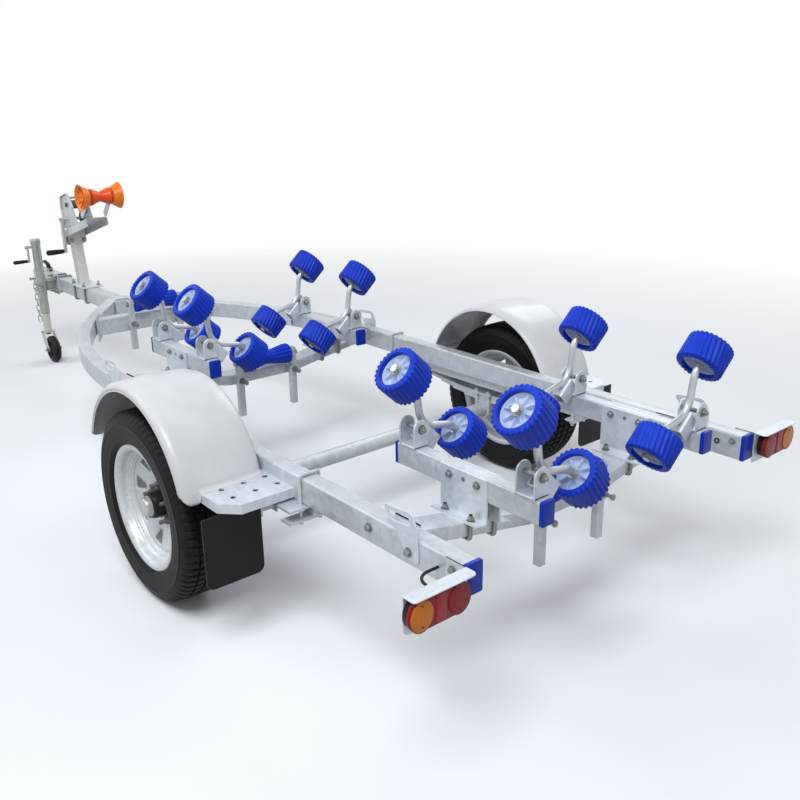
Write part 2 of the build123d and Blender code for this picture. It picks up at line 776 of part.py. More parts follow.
well_half = rim_well_width / 2
stub_end = stub_reach + 4
disc_inner = disc_offset - disc_wall
with BuildPart() as wheel:
    with BuildSketch(wheel_section):
        # barrel between the two lips, with the well in the middle
        with BuildLine():
            Polyline(
                (-rim_half, bead_radius + rim_lip),
                (-rim_half + rim_wall, bead_radius + rim_lip),
                (-rim_half + rim_wall, bead_radius),
                (-well_half - 10, bead_radius),
                (-well_half, rim_well_radius),
                (well_half, rim_well_radius),
                (well_half + 10, bead_radius),
                (rim_half - rim_wall, bead_radius),
                (rim_half - rim_wall, bead_radius + rim_lip),
                (rim_half, bead_radius + rim_lip),
                (rim_half, bead_radius - rim_wall),
                (well_half + 12, bead_radius - rim_wall),
                (well_half + 2, rim_well_radius - rim_wall),
                (-well_half - 2, rim_well_radius - rim_wall),
                (-well_half - 12, bead_radius - rim_wall),
                (-rim_half, bead_radius - rim_wall),
                close=True,
            )
        make_face()
        # disc, hub flange, hub and dust cap
        with BuildLine():
            Polyline(
                (disc_edge_offset - disc_wall, rim_well_radius - rim_wall + 1),
                (disc_edge_offset, rim_well_radius - rim_wall + 1),
                (disc_offset, disc_flat_radius),
                (disc_offset, hub_radius),
                (hub_outer_reach, hub_radius),
                (hub_outer_reach, cap_radius),
                (hub_outer_reach + cap_length, cap_radius),
                (hub_outer_reach + cap_length, 0),
                (stub_end, 0),
                (stub_end, stub_radius + fit_gap),
                (-hub_inner_reach, stub_radius + fit_gap),
                (-hub_inner_reach, hub_radius - 4),
                (disc_inner - hub_flange_thickness, hub_radius),
                (disc_inner - hub_flange_thickness, hub_flange_radius),
                (disc_inner, hub_flange_radius),
                (disc_inner, disc_flat_radius),
                close=True,
            )
        make_face()
    revolve(axis=wheel_axis)
    disc_face = Plane(
        origin=(axle_x, wheel_half + disc_offset, tyre_radius), x_dir=(1, 0, 0), z_dir=(0, 1, 0)
    )
    # windows, wide at their outer ends, through the sloping part of the disc
    with BuildSketch(disc_face.offset(disc_edge_offset - disc_offset)):
        with PolarLocations(disc_window_radius, disc_windows):
            Trapezoid(disc_window_width, disc_window_length, disc_window_lean, rotation=90)
    extrude(amount=disc_inner - disc_edge_offset, mode=Mode.SUBTRACT)
    with BuildSketch(disc_face):
        with PolarLocations(stud_circle / 2, stud_count):
            RegularPolygon(nut_radius, 6)
    extrude(amount=nut_height)
export(wheel.part, "wheel_left")
export(wheel.part.mirror(Plane.XZ), "wheel_right")

# ================================================================ axle and springs
axle_z = tyre_radius - axle_drop
flange_y = wheel_half - hub_inner_reach - hub_gap - brake_flange_thickness
stub_length = hub_inner_reach + hub_gap + stub_reach
with BuildPart() as axle:
    with Locations((axle_x, 0, axle_z)):
        Cylinder(axle_radius, 2 * flange_y, rotation=(90, 0, 0))
    for side in (1, -1):
        with Locations((axle_x, side * (flange_y + brake_flange_thickness / 2), tyre_radius)):
            Cylinder(brake_flange_radius, brake_flange_thickness, rotation=(90, 0, 0))
        stub_y = flange_y + brake_flange_thickness + stub_length / 2
        with Locations((axle_x, side * stub_y, tyre_radius)):
            Cylinder(stub_radius, stub_length, rotation=(90, 0, 0))
export(axle.part, "axle")

pack_height = leaf_thickness * len(leaf_half_lengths)
pack_bottom = axle_z + axle_radius + spring_pad
pack_top = pack_bottom + pack_height
leaf_radius = (leaf_half_lengths[0] ** 2 + spring_eye_rise**2) / (2 * spring_eye_rise)
leaf_centre_z = pack_top - leaf_thickness / 2 + leaf_radius
eye_z = pack_top - leaf_thickness / 2 + spring_eye_rise
spring_side = spring_width / 2
spring_inner_face = Plane.XZ.offset(-(spring_y - spring_side))


def leaf_point(radius, half_length, side):
    """End of one face of a leaf, on an arc about the pack's common centre."""
    lean = asin(half_length / leaf_radius)
    return (axle_x + side * radius * sin(lean), leaf_centre_z - radius * cos(lean))


with BuildPart() as spring_set:
    for number, half_length in enumerate(leaf_half_lengths):
        inner = leaf_radius - leaf_thickness / 2 + number * leaf_thickness
        outer = inner + leaf_thickness
        with BuildSketch(spring_inner_face):
            with BuildLine():
                ThreePointArc(
                    leaf_point(inner, half_length, -1),
                    (axle_x, leaf_centre_z - inner),
                    leaf_point(inner, half_length, 1),
                )
                Line(leaf_point(inner, half_length, 1), leaf_point(outer, half_length, 1))
                ThreePointArc(
                    leaf_point(outer, half_length, 1),
                    (axle_x, leaf_centre_z - outer),
                    leaf_point(outer, half_length, -1),
                )
                Line(leaf_point(outer, half_length, -1), leaf_point(inner, half_length, -1))
            make_face()
        extrude(amount=-spring_width)
    # seat on the axle and plate on top of the pack
    with Locations((axle_x, spring_y, pack_bottom - 10)):
        Box(2 * saddle_half, spring_width, 20 + leaf_thickness)
    with Locations((axle_x, spring_y, axle_z)):
        Cylinder(axle_radius + seat_gap, 2 * spring_width, rotation=(90, 0, 0), mode=Mode.SUBTRACT)
    plate_half_y = spring_side + 4 * u_bolt_radius
    with Locations((axle_x, spring_y, pack_top + spring_beam_wall / 2)):
        Box(2 * saddle_half + 20, 2 * plate_half_y - 6, spring_beam_wall)
    for end in (1, -1):
        bolt_y = spring_y + end * (spring_side + u_bolt_radius + seat_gap)
        bolt_reach = axle_radius + u_bolt_radius + seat_gap
        with BuildLine(Plane.XZ.offset(-bolt_y)) as axle_bolt:
            Line((axle_x - bolt_reach, pack_top + 18), (axle_x - bolt_reach, axle_z))
            ThreePointArc(
                (axle_x - bolt_reach, axle_z),
                (axle_x, axle_z - bolt_reach),
                (axle_x + bolt_reach, axle_z),
            )
            Line((axle_x + bolt_reach, axle_z), (axle_x + bolt_reach, pack_top + 18))
        with BuildSketch(Plane(origin=axle_bolt.wire() @ 0, z_dir=(0, 0, -1))):
            Circle(u_bolt_radius)
        sweep(path=axle_bolt.wire())
        nut_z = pack_top + spring_beam_wall + u_nut_height / 2
        with Locations(
            (axle_x - bolt_reach, bolt_y, nut_z),
            (axle_x + bolt_reach, bolt_y, nut_z),
        ):
            Cylinder(u_nut_radius, u_nut_height)
    # eyes, hangers and the beam above them
    beam_inner = spring_beam_inner
    beam_outer = spring_y + spring_side + hanger_thickness
    beam_middle = (beam_inner + beam_outer) / 2
    with Locations((axle_x, beam_middle, rail_bottom - spring_beam_wall / 2)):
        Box(2 * spring_beam_half, beam_outer - beam_inner, spring_beam_wall)
    with Locations((axle_x, beam_inner + spring_beam_wall / 2, rail_bottom - spring_beam_height / 2)):
        Box(2 * spring_beam_half, spring_beam_wall, spring_beam_height)
    for end in (1, -1):
        eye_x = axle_x + end * leaf_half_lengths[0]
        with Locations((eye_x, spring_y, eye_z)):
            Cylinder(spring_eye_radius, spring_width, rotation=(90, 0, 0))
            Cylinder(
                spring_bolt_radius,
                spring_width + 2 * (hanger_thickness + spring_bolt_head),
                rotation=(90, 0, 0),
            )
        for across in (1, -1):
            hanger_y = spring_y + across * (spring_side + hanger_thickness / 2)
            with Locations((eye_x, hanger_y, rail_bottom - hanger_drop / 2)):
                Box(hanger_width, hanger_thickness, hanger_drop)
        # U-bolt over the rail, held by a strap under the beam
        strap_x = axle_x + end * rail_u_bolt_place
        strap_top = rail_bottom - spring_beam_height
        strap_bottom = strap_top - clamp_strap_thickness
        leg_out = frame_half_width + u_bolt_radius + seat_gap
        leg_in = rail_inner_y - u_bolt_radius - seat_gap
        with BuildLine(Plane.YZ.offset(strap_x)) as rail_bolt:
            FilletPolyline(
                (leg_in, strap_bottom - 16),
                (leg_in, rail_top + u_bolt_radius + seat_gap),
                (leg_out, rail_top + u_bolt_radius + seat_gap),
                (leg_out, strap_bottom - 16),
                radius=u_bolt_radius + seat_gap,
            )
        with BuildSketch(Plane(origin=rail_bolt.wire() @ 0, z_dir=(0, 0, 1))):
            Circle(u_bolt_radius)
        sweep(path=rail_bolt.wire())
        with Locations((strap_x, (leg_in + beam_outer) / 2 - 6, (strap_top + strap_bottom) / 2)):
            Box(clamp_strap_width, beam_outer - leg_in + 12, clamp_strap_thickness)
        nut_z = strap_bottom - u_nut_height / 2
        with Locations((strap_x, leg_in, nut_z), (strap_x, leg_out, nut_z)):
            Cylinder(u_nut_radius, u_nut_height)
export(both_sides(spring_set.part), "spring_sets")

# ================================================================ fenders, steps and mud flaps
fender_axis = Axis((axle_x, 0, fender_axis_z), (0, 1, 0))
fender_width = fender_outer_y - fender_inner_y
fender_middle = (fender_outer_y + fender_inner_y) / 2
fender_plane = Plane(
    origin=(axle_x, fender_middle, fender_axis_z + fender_crown - fender_drop),
    x_dir=(0, 1, 0),
    z_dir=(1, 0, 0),
)
with BuildPart() as fender:
    with BuildSketch(fender_plane):
        for inset, mode in ((0, Mode.ADD), (fender_wall, Mode.SUBTRACT)):
            half = fender_width / 2 - inset
            crown = fender_drop - inset
            turn = fender_shoulder - inset
            lip = 0 if inset == 0 else -1
            with BuildLine():
                Line((-half, lip), (-half, crown - turn))
                RadiusArc((-half, crown - turn), (-half + turn, crown), turn)
                Line((-half + turn, crown), (half - turn, crown))
                RadiusArc((half - turn, crown), (half, crown - turn), turn)
                Line((half, crown - turn), (half, lip))
                Line((half, lip), (-half, lip))
            make_face(mode=mode)
    revolve(axis=fender_axis)
    split(bisect_by=Plane.XY.offset(fender_foot_z), keep=Keep.TOP)
    foot_y = step_outer_y + fender_foot_gap
    with Locations((axle_x, foot_y / 2, (step_top + fender_foot_z) / 2 - 1)):
        Box(3 * fender_crown, foot_y, step_top - fender_foot_z + 2, mode=Mode.SUBTRACT)
export(both_sides(fender.part), "fenders")

step_sets = []
for end in (1, -1):
    for side in (1, -1):
        near = end * step_near
        far = end * step_far
        with BuildPart() as step_plate:
            with BuildSketch(Plane.XY.offset(step_top - step_skirt)):
                with BuildLine():
                    Polyline(
                        (axle_x + near, side * frame_half_width),
                        (axle_x + near, side * step_outer_y),
                        (axle_x + far - end * step_chamfer, side * step_outer_y),
                        (axle_x + far, side * (step_outer_y - step_chamfer)),
                        (axle_x + far, side * frame_half_width),
                        close=True,
                    )
                make_face()
            extrude(amount=step_skirt)
            under = step_plate.faces().sort_by(Axis.Z)[0]
            offset(amount=-sheet, openings=under)
            with Locations(
                *[
                    (axle_x + end * row, side * y, step_top - sheet / 2)
                    for row in step_hole_rows
                    for y in step_hole_ys
                ]
            ):
                Cylinder(step_hole_radius, 2 * sheet, mode=Mode.SUBTRACT)
        step_sets.append(step_plate.part)
export(Compound(children=step_sets), "step_plates")

flap_top = step_top - step_skirt - 2
flap_middle = (flap_inner_y + flap_outer_y) / 2
tab_top = step_top - sheet
with BuildPart() as mud_flap:
    with BuildSketch(Plane.YZ.offset(along(flap_place) - flap_thickness)):
        with Locations((flap_middle, (flap_top + flap_bottom) / 2)):
            RectangleRounded(flap_outer_y - flap_inner_y, flap_top - flap_bottom, flap_corner)
        with Locations((flap_middle, flap_top - flap_corner)):
            Rectangle(flap_outer_y - flap_inner_y, 2 * flap_corner)
        with Locations((flap_inner_y + 5 + flap_tab_width / 2, (flap_top + tab_top) / 2)):
            Rectangle(flap_tab_width, tab_top - flap_top)
    extrude(amount=flap_thickness)
export(both_sides(mud_flap.part), "mud_flaps")

# ================================================================ lamps and their brackets
bracket_back = rail_rear_x - cap_thickness
bracket_middle_y = (frame_half_width + lamp_bracket_outer_y) / 2
bracket_span = lamp_bracket_outer_y - frame_half_width
bracket_z = rail_top - lamp_bracket_drop / 2
with BuildPart() as lamp_bracket:
    with Locations((bracket_back - sheet / 2, bracket_middle_y, bracket_z)):
        Box(sheet, bracket_span, lamp_bracket_drop)
    with Locations((bracket_back - sheet + lamp_bracket_depth / 2, bracket_middle_y, rail_top - sheet / 2)):
        Box(lamp_bracket_depth, bracket_span, sheet)
    with Locations(
        (bracket_back - sheet + lamp_bracket_return / 2, frame_half_width + sheet / 2, bracket_z)
    ):
        Box(lamp_bracket_return, sheet, lamp_bracket_drop)
    with Locations((bracket_back + lamp_bracket_return * 0.6, frame_half_width + sheet + 3, bracket_z)):
        Cylinder(9, 7, rotation=(90, 0, 0))
export(both_sides(lamp_bracket.part), "lamp_brackets")

lamp_face = Plane(
    origin=(bracket_back - sheet, bracket_middle_y, bracket_z), x_dir=(0, -1, 0), z_dir=(-1, 0, 0)
)
with BuildPart() as lamp:
    with BuildSketch(lamp_face):
        SlotOverall(lamp_length, lamp_height)
    extrude(amount=lamp_depth)
export(both_sides(lamp.part), "lamps")
with BuildPart() as lamp_lens:
    with BuildSketch(lamp_face.offset(lamp_depth)):
        SlotOverall(lamp_length - 2 * lens_inset, lamp_height - 2 * lens_inset)
    extrude(amount=lens_depth)
    fillet(lamp_lens.faces().sort_by(Axis.X)[0].edges(), lens_depth / 2)
export(both_sides(lamp_lens.part), "lamp_lenses")

lead_exit_y = frame_half_width + sheet + 26 + lead_turn_radius
with BuildPart() as lamp_lead:
    with BuildLine(Plane.XY.offset(bracket_z)) as lead_route:
        Line((bracket_back, lead_exit_y), (bracket_back + lead_straight, lead_exit_y))
        JernArc((bracket_back + lead_straight, lead_exit_y), (1, 0), lead_turn_radius, -90)
        Line(
            (bracket_back + lead_straight + lead_turn_radius, lead_exit_y - lead_turn_radius),
            (bracket_back + lead_straight + lead_turn_radius, frame_half_width),
        )
    with BuildSketch(Plane(origin=lead_route.wire() @ 0, z_dir=(1, 0, 0))):
        Circle(lead_radius)
    sweep(path=lead_route.wire())
export(both_sides(lamp_lead.part), "lamp_leads")

# ================================================================ tie-down loops
loop_sets = []
for place in loop_places:
    with BuildPart() as tie_down_loop:
        with BuildSketch(Plane.XZ.offset(-frame_half_width)):
            for outline, mode in ((loop_outline, Mode.ADD), (loop_slot, Mode.SUBTRACT)):
                with BuildLine():
                    Polyline(*[(along(place) + x, rail_top + z) for x, z in outline], close=True)
                make_face(mode=mode)
        extrude(amount=-loop_thickness)
    loop_sets.append(tie_down_loop.part)
    loop_sets.append(tie_down_loop.part.mirror(Plane.XZ))
export(Compound(children=loop_sets), "tie_down_loops")

# ================================================================ winch post, arm and bow roller
post_x = along(winch_post_place)
plate_top = rail_top + post_plate_thickness
slope = radians(arm_slope)
lean = radians(winch_post_lean)
arm_front = Vector(along(arm_front_place), 0, arm_front_z)
arm_way = Vector(-cos(slope), 0, sin(slope))
arm_up = Vector(sin(slope), 0, cos(slope))
bow_centre = Vector(along(bow_roller_place), 0, bow_roller_z)


def arm_floor_z(x):
    """Height of the arm's underside at x."""
    return arm_front_z + (arm_front.X - x) * tan(slope)


def arm_side(y):
    """Plane across the trailer at y: x runs up along the arm, y stands on its floor."""
    return Plane(origin=arm_front + Vector(0, y, 0), x_dir=arm_way, z_dir=(0, 1, 0))


def post_face_x(depth, z):
    """x of a face of the leaning post, at this depth in front of its rear face."""
    return along(winch_post_foot) + depth + (z - plate_top) * tan(lean)


def post_slice(start, end, low):
    """Corners of a slice of the post between two depths, from low up to inside the arm's floor."""
    corners = [(post_face_x(start, low), low), (post_face_x(end, low), low)]
    for depth in (end, start):
        foot = post_face_x(depth, plate_top)
        rise = arm_floor_z(foot) - plate_top
        z = plate_top + rise / (1 + tan(lean) * tan(slope))
        corners.append((foot + (z - plate_top) * tan(lean), z + 1))
    return corners


ear_foot = arm_front + arm_way * (arm_length - bow_ear_foot[0]) + arm_up * bow_ear_foot[1]
with BuildPart() as winch_post:
    with Locations((post_x, 0, rail_top + post_plate_thickness / 2)):
        Box(post_plate_length, post_plate_width, post_plate_thickness)
    for end in (1, -1):
        place = post_x + end * post_u_bolt_half
        reach = drawbar_half + u_bolt_radius + seat_gap
        low = rail_bottom - u_bolt_radius - seat_gap
        high = plate_top + u_bolt_rise + 4
        with BuildLine(Plane.YZ.offset(place)) as post_bolt:
            FilletPolyline(
                (-reach, high),
                (-reach, low),
                (reach, low),
                (reach, high),
                radius=u_bolt_radius + seat_gap,
            )
        with BuildSketch(Plane(origin=post_bolt.wire() @ 0, z_dir=(0, 0, -1))):
            Circle(u_bolt_radius)
        sweep(path=post_bolt.wire())
        with Locations(
            (place, reach, plate_top + u_nut_height / 2),
            (place, -reach, plate_top + u_nut_height / 2),
        ):
            Cylinder(u_nut_radius, u_nut_height)
    saddle_front = winch_post_depth + saddle_thickness
    front_bottom = saddle_bottom - saddle_drop
    for start, end, half, low, mode in (
        (0, winch_post_depth, winch_post_width / 2, plate_top, Mode.ADD),
        (
            winch_post_wall,
            winch_post_depth - winch_post_wall,
            winch_post_width / 2 - winch_post_wall,
            plate_top,
            Mode.SUBTRACT,
        ),
        (-saddle_thickness, 0, saddle_width / 2, saddle_bottom, Mode.ADD),
        (winch_post_depth, saddle_front, saddle_width / 2, front_bottom, Mode.ADD),
    ):
        with BuildSketch(Plane.XZ.offset(-half)):
            with BuildLine():
                Polyline(*post_slice(start, end, low), close=True)
            make_face()
        extrude(amount=2 * half, mode=mode)
    with BuildSketch(Plane.XZ.offset(-gusset_thickness / 2)):
        with BuildLine():
            Polyline(
                (post_face_x(winch_post_depth, plate_top) - 1, plate_top - 1),
                (along(gusset_foot), plate_top - 1),
                (along(gusset_foot), plate_top + 8),
                (post_face_x(winch_post_depth, gusset_top), gusset_top),
                (post_face_x(winch_post_depth, gusset_top) - 1, gusset_top),
                close=True,
            )
        make_face()
    extrude(amount=gusset_thickness)
    bolt_z = saddle_bottom + saddle_bolt_rise
    rear_face = post_face_x(-saddle_thickness, bolt_z)
    bolt_way = Vector(cos(lean), 0, -sin(lean))
    bolt_span = (winch_post_depth + 2 * saddle_thickness) * cos(lean)
    for side in (1, -1):
        bolt_end = Vector(rear_face, side * saddle_bolt_half, bolt_z)
        with BuildSketch(Plane(origin=bolt_end, z_dir=bolt_way)):
            Circle(saddle_bolt_radius)
        extrude(amount=bolt_span)
        for reach in (-saddle_head_height, bolt_span):
            with BuildSketch(Plane(origin=bolt_end + bolt_way * reach, z_dir=bolt_way)):
                RegularPolygon(saddle_head_radius, 6)
            extrude(amount=saddle_head_height)
    with BuildSketch(Plane(origin=arm_front, x_dir=(0, -1, 0), z_dir=arm_way)):
        Rectangle(arm_width, arm_height, align=(Align.CENTER, Align.MIN))
        with Locations((0, arm_wall)):
            Rectangle(
                arm_width - 2 * arm_wall,
                arm_height,
                align=(Align.CENTER, Align.MIN),
                mode=Mode.SUBTRACT,
            )
    extrude(amount=arm_length)
    for side in (1, -1):
        with BuildSketch(Plane.XZ.offset(-side * bow_ear_half_gap)):
            with Locations((ear_foot.X, ear_foot.Z), (bow_centre.X, bow_centre.Z)):
                Circle(bow_ear_width / 2)
            make_hull()
        extrude(amount=-side * bow_ear_thickness)
    with Locations(bow_centre):
        Cylinder(
            bow_pin_radius + fit_gap, 4 * bow_ear_half_gap, rotation=(90, 0, 0), mode=Mode.SUBTRACT
        )
export(winch_post.part, "winch_post")

spool_half = bow_ear_half_gap - bow_side_gap
bell_start = bow_ear_half_gap + bow_ear_thickness + bow_side_gap
bell_end = bell_start + bow_bell_length
bell_floor = bell_end - bow_bell_recess
with BuildPart() as bow_roller:
    with BuildSketch(Plane(origin=bow_centre, x_dir=(0, 1, 0), z_dir=(1, 0, 0))):
        with BuildLine():
            Polyline(
                (-bell_floor, 0),
                (-bell_floor, bow_spool_waist - 4),
                (-bell_end, bow_bell_radius - 6),
                (-bell_end, bow_bell_radius),
                (-bell_start, bow_bell_edge),
                (-bell_start, bow_pin_radius),
                (-spool_half, bow_pin_radius),
                (-spool_half, bow_spool_edge),
                (0, bow_spool_waist),
                (spool_half, bow_spool_edge),
                (spool_half, bow_pin_radius),
                (bell_start, bow_pin_radius),
                (bell_start, bow_bell_edge),
                (bell_end, bow_bell_radius),
                (bell_end, bow_bell_radius - 6),
                (bell_floor, bow_spool_waist - 4),
                (bell_floor, 0),
                close=True,
            )
        make_face()
    revolve(axis=Axis(bow_centre, (0, 1, 0)))
export(bow_roller.part, "bow_roller")

# ================================================================ winch
drum_axis = arm_front + arm_way * winch_drum_along + arm_up * winch_drum_up
crank_axis = arm_front + arm_way * crank_along + arm_up * crank_up
winch_inner = winch_half_width - winch_plate
with BuildPart() as winch_frame:
    for side in (1, -1):
        with BuildSketch(arm_side(side * winch_inner)):
            with BuildLine():
                Polyline(
                    (winch_near, arm_wall),
                    (winch_far, arm_wall),
                    (winch_far - 14, winch_height * 0.5),
                    (winch_drum_along + 34, winch_height),
                    (winch_near + 26, winch_height),
                    (winch_near, winch_height * 0.66),
                    close=True,
                )
            make_face()
            with Locations((winch_drum_along, winch_drum_up), (crank_along, crank_up)):
                Circle(winch_shaft_radius + fit_gap, mode=Mode.SUBTRACT)
        extrude(amount=side * winch_plate)
    with BuildSketch(arm_side(-winch_inner)):
        with BuildLine():
            Polyline(
                (winch_near, arm_wall),
                (winch_far, arm_wall),
                (winch_far, arm_wall + winch_plate),
                (winch_near, arm_wall + winch_plate),
                close=True,
            )
        make_face()
    extrude(amount=2 * winch_inner)
    with BuildSketch(arm_side(-winch_inner)):
        with Locations((winch_near + 40, winch_height - 12)):
            Circle(6)
    extrude(amount=2 * winch_inner)
export(winch_frame.part, "winch_frame")

drum_half = winch_inner - winch_gap
gear_face = winch_gear_width - drum_half
with BuildPart() as winch_drum:
    with BuildSketch(Plane(origin=drum_axis, x_dir=(0, 1, 0), z_dir=(1, 0, 0))):
        with BuildLine():
            Polyline(
                (-winch_half_width - 6, 0),
                (-winch_half_width - 6, winch_shaft_radius),
                (-drum_half, winch_shaft_radius),
                (-drum_half, winch_gear_radius),
                (gear_face, winch_gear_radius),
                (gear_face, winch_drum_radius),
                (drum_half - winch_plate, winch_drum_radius),
                (drum_half - winch_plate, winch_flange_radius),
                (drum_half, winch_flange_radius),
                (drum_half, winch_shaft_radius),
                (winch_half_width + 6, winch_shaft_radius),
                (winch_half_width + 6, 0),
                close=True,
            )
        make_face()
    revolve(axis=Axis(drum_axis, (0, 1, 0)))
export(winch_drum.part, "winch_drum")

with BuildPart() as winch_crank:
    with BuildSketch(Plane(origin=crank_axis, x_dir=(0, 1, 0), z_dir=(1, 0, 0))):
        with BuildLine():
            Polyline(
                (-winch_half_width - 6, 0),
                (-winch_half_width - 6, winch_shaft_radius),
                (-drum_half, winch_shaft_radius),
                (-drum_half, pinion_radius),
                (gear_face, pinion_radius),
                (gear_face, winch_shaft_radius),
                (crank_y + crank_bar_radius, winch_shaft_radius),
                (crank_y + crank_bar_radius, 0),
                close=True,
            )
        make_face()
    revolve(axis=Axis(crank_axis, (0, 1, 0)))
    grip_centre = crank_axis + Vector(0, crank_y, -crank_arm_length)
    grip_start = crank_bar_radius + 4
    with Locations(crank_axis + Vector(0, crank_y, -crank_arm_length / 2)):
        Box(2 * crank_bar_radius + 6, 2 * crank_bar_radius, crank_arm_length + 16)
    with BuildSketch(Plane(origin=grip_centre, z_dir=(0, 1, 0))):
        Circle(crank_bar_radius - 1)
    extrude(amount=grip_start)
    with BuildSketch(Plane(origin=grip_centre + Vector(0, grip_start, 0), z_dir=(0, 1, 0))):
        Circle(grip_radius)
    extrude(amount=grip_length)
export(winch_crank.part, "winch_crank")

# ================================================================ jockey wheel
jockey_x = along(jockey_place)
leg_radius = jockey_tube_radius - jockey_tube_wall - jockey_leg_gap
tube_height = jockey_tube_top - jockey_tube_bottom
clamp_outer = drawbar_half + jockey_plate
with BuildPart() as jockey_tube:
    with BuildSketch(Plane.XY.offset(jockey_tube_bottom)):
        with Locations((jockey_x, jockey_y)):
            Circle(jockey_tube_radius)
            Circle(jockey_tube_radius - jockey_tube_wall, mode=Mode.SUBTRACT)
    extrude(amount=tube_height)
    with BuildSketch(Plane.XY.offset(jockey_tube_top)):
        with Locations((jockey_x, jockey_y)):
            Circle(jockey_cap_radius)
    extrude(amount=jockey_cap_height)
    # clamp ring and the shelves that carry it
    with BuildSketch(Plane.XY.offset(rail_centre_z - clamp_height / 2)):
        with Locations((jockey_x, jockey_y)):
            Circle(clamp_radius)
            Circle(jockey_tube_radius - jockey_tube_wall / 2, mode=Mode.SUBTRACT)
    extrude(amount=clamp_height)
    shelf_reach = jockey_y - jockey_tube_radius - clamp_outer
    for level in (1, -1):
        shelf_z = rail_centre_z + level * (clamp_height - jockey_plate) / 2
        with Locations((jockey_x, clamp_outer + shelf_reach / 2, shelf_z)):
            Box(clamp_shelf_length, shelf_reach + 4, jockey_plate)
    with Locations((jockey_x, clamp_outer + shelf_reach / 2, rail_centre_z)):
        Box(jockey_plate, shelf_reach + 4, clamp_height)
    with Locations((jockey_x, drawbar_half + jockey_plate / 2, rail_centre_z)):
        Box(clamp_plate_length, jockey_plate, clamp_plate_height)
    for end in (1, -1):
        place = jockey_x + end * clamp_u_bolt_half
        reach = u_bolt_radius + seat_gap
        with BuildLine(Plane.YZ.offset(place)) as bar_bolt:
            FilletPolyline(
                (clamp_outer + u_bolt_rise, rail_top + reach),
                (-drawbar_half - reach, rail_top + reach),
                (-drawbar_half - reach, rail_bottom - reach),
                (clamp_outer + u_bolt_rise, rail_bottom - reach),
                radius=reach,
            )
        with BuildSketch(Plane(origin=bar_bolt.wire() @ 0, z_dir=(0, -1, 0))):
            Circle(u_bolt_radius)
        sweep(path=bar_bolt.wire())
        with Locations(
            (place, clamp_outer + u_nut_height / 2, rail_top + reach),
            (place, clamp_outer + u_nut_height / 2, rail_bottom - reach),
        ):
            Cylinder(u_nut_radius, u_nut_height, rotation=(90, 0, 0))
    # crank at the side of the tube's head
    crank_foot = jockey_y + jockey_tube_radius - 1
    crank_plane_y = crank_foot + jockey_crank_out
    with Locations((jockey_x, (crank_foot + crank_plane_y) / 2, jockey_crank_z)):
        Cylinder(jockey_crank_bar + 2, jockey_crank_out, rotation=(90, 0, 0))
    with Locations((jockey_x, crank_plane_y, jockey_crank_z - jockey_crank_arm / 2)):
        Box(2 * jockey_crank_bar, 2 * jockey_crank_bar, jockey_crank_arm + 2 * jockey_crank_bar)
    grip_y = crank_plane_y + jockey_crank_bar + 4
    with Locations((jockey_x, grip_y - 3, jockey_crank_z - jockey_crank_arm)):
        Cylinder(jockey_crank_bar - 1, 10, rotation=(90, 0, 0))
    with Locations((jockey_x, grip_y + jockey_grip_length / 2, jockey_crank_z - jockey_crank_arm)):
        Cylinder(jockey_grip_radius, jockey_grip_length, rotation=(90, 0, 0))
export(jockey_tube.part, "jockey_tube")

fork_plate_top = jockey_leg_bottom - jockey_fork_gap
fork_plate_bottom = fork_plate_top - jockey_plate
pin_head_top = fork_plate_bottom - jockey_fork_gap
with BuildPart() as jockey_leg:
    with BuildSketch(Plane.XY.offset(jockey_leg_bottom)):
        with Locations((jockey_x, jockey_y)):
            Circle(leg_radius)
    extrude(amount=jockey_leg_top - jockey_leg_bottom)
    with BuildSketch(Plane.XY.offset(jockey_leg_bottom + 10)):
        with Locations((jockey_x, jockey_y)):
            Circle(leg_radius - jockey_leg_wall)
    extrude(amount=jockey_leg_top, mode=Mode.SUBTRACT)
    with BuildSketch(Plane.XY.offset(pin_head_top)):
        with Locations((jockey_x, jockey_y)):
            Circle(jockey_pin_radius)
    extrude(amount=jockey_leg_bottom - pin_head_top)
    with BuildSketch(Plane.XY.offset(pin_head_top)):
        with Locations((jockey_x, jockey_y)):
            Circle(jockey_pin_head)
    extrude(amount=-jockey_plate)
export(jockey_leg.part, "jockey_leg")

wheel_x = jockey_x - jockey_trail
fork_outer = jockey_fork_half + jockey_fork_plate
with BuildPart() as jockey_fork:
    for side in (1, -1):
        with BuildSketch(Plane.XZ.offset(-(jockey_y + side * jockey_fork_half))):
            with BuildLine():
                Line((jockey_x - 22, fork_plate_top), (jockey_x + 22, fork_plate_top))
                Line((jockey_x + 22, fork_plate_top), (jockey_x + 22, fork_plate_top - 22))
                Line((jockey_x + 22, fork_plate_top - 22), (jockey_x - 22, fork_plate_top - 22))
                Line((jockey_x - 22, fork_plate_top - 22), (jockey_x - 22, fork_plate_top))
            make_face()
            with Locations((wheel_x, jockey_wheel_radius)):
                Circle(14)
            make_hull()
        extrude(amount=-side * jockey_fork_plate)
        with Locations((wheel_x, jockey_y + side * (fork_outer + 3), jockey_wheel_radius)):
            Cylinder(10, 6, rotation=(90, 0, 0))
    with Locations((jockey_x, jockey_y, fork_plate_top - jockey_plate / 2)):
        Box(44, 2 * fork_outer, jockey_plate)
        Cylinder(jockey_pin_radius + fit_gap, 4 * jockey_plate, mode=Mode.SUBTRACT)
    with Locations((wheel_x, jockey_y, jockey_wheel_radius)):
        Cylinder(jockey_axle_radius, 2 * fork_outer, rotation=(90, 0, 0))
export(jockey_fork.part, "jockey_fork")

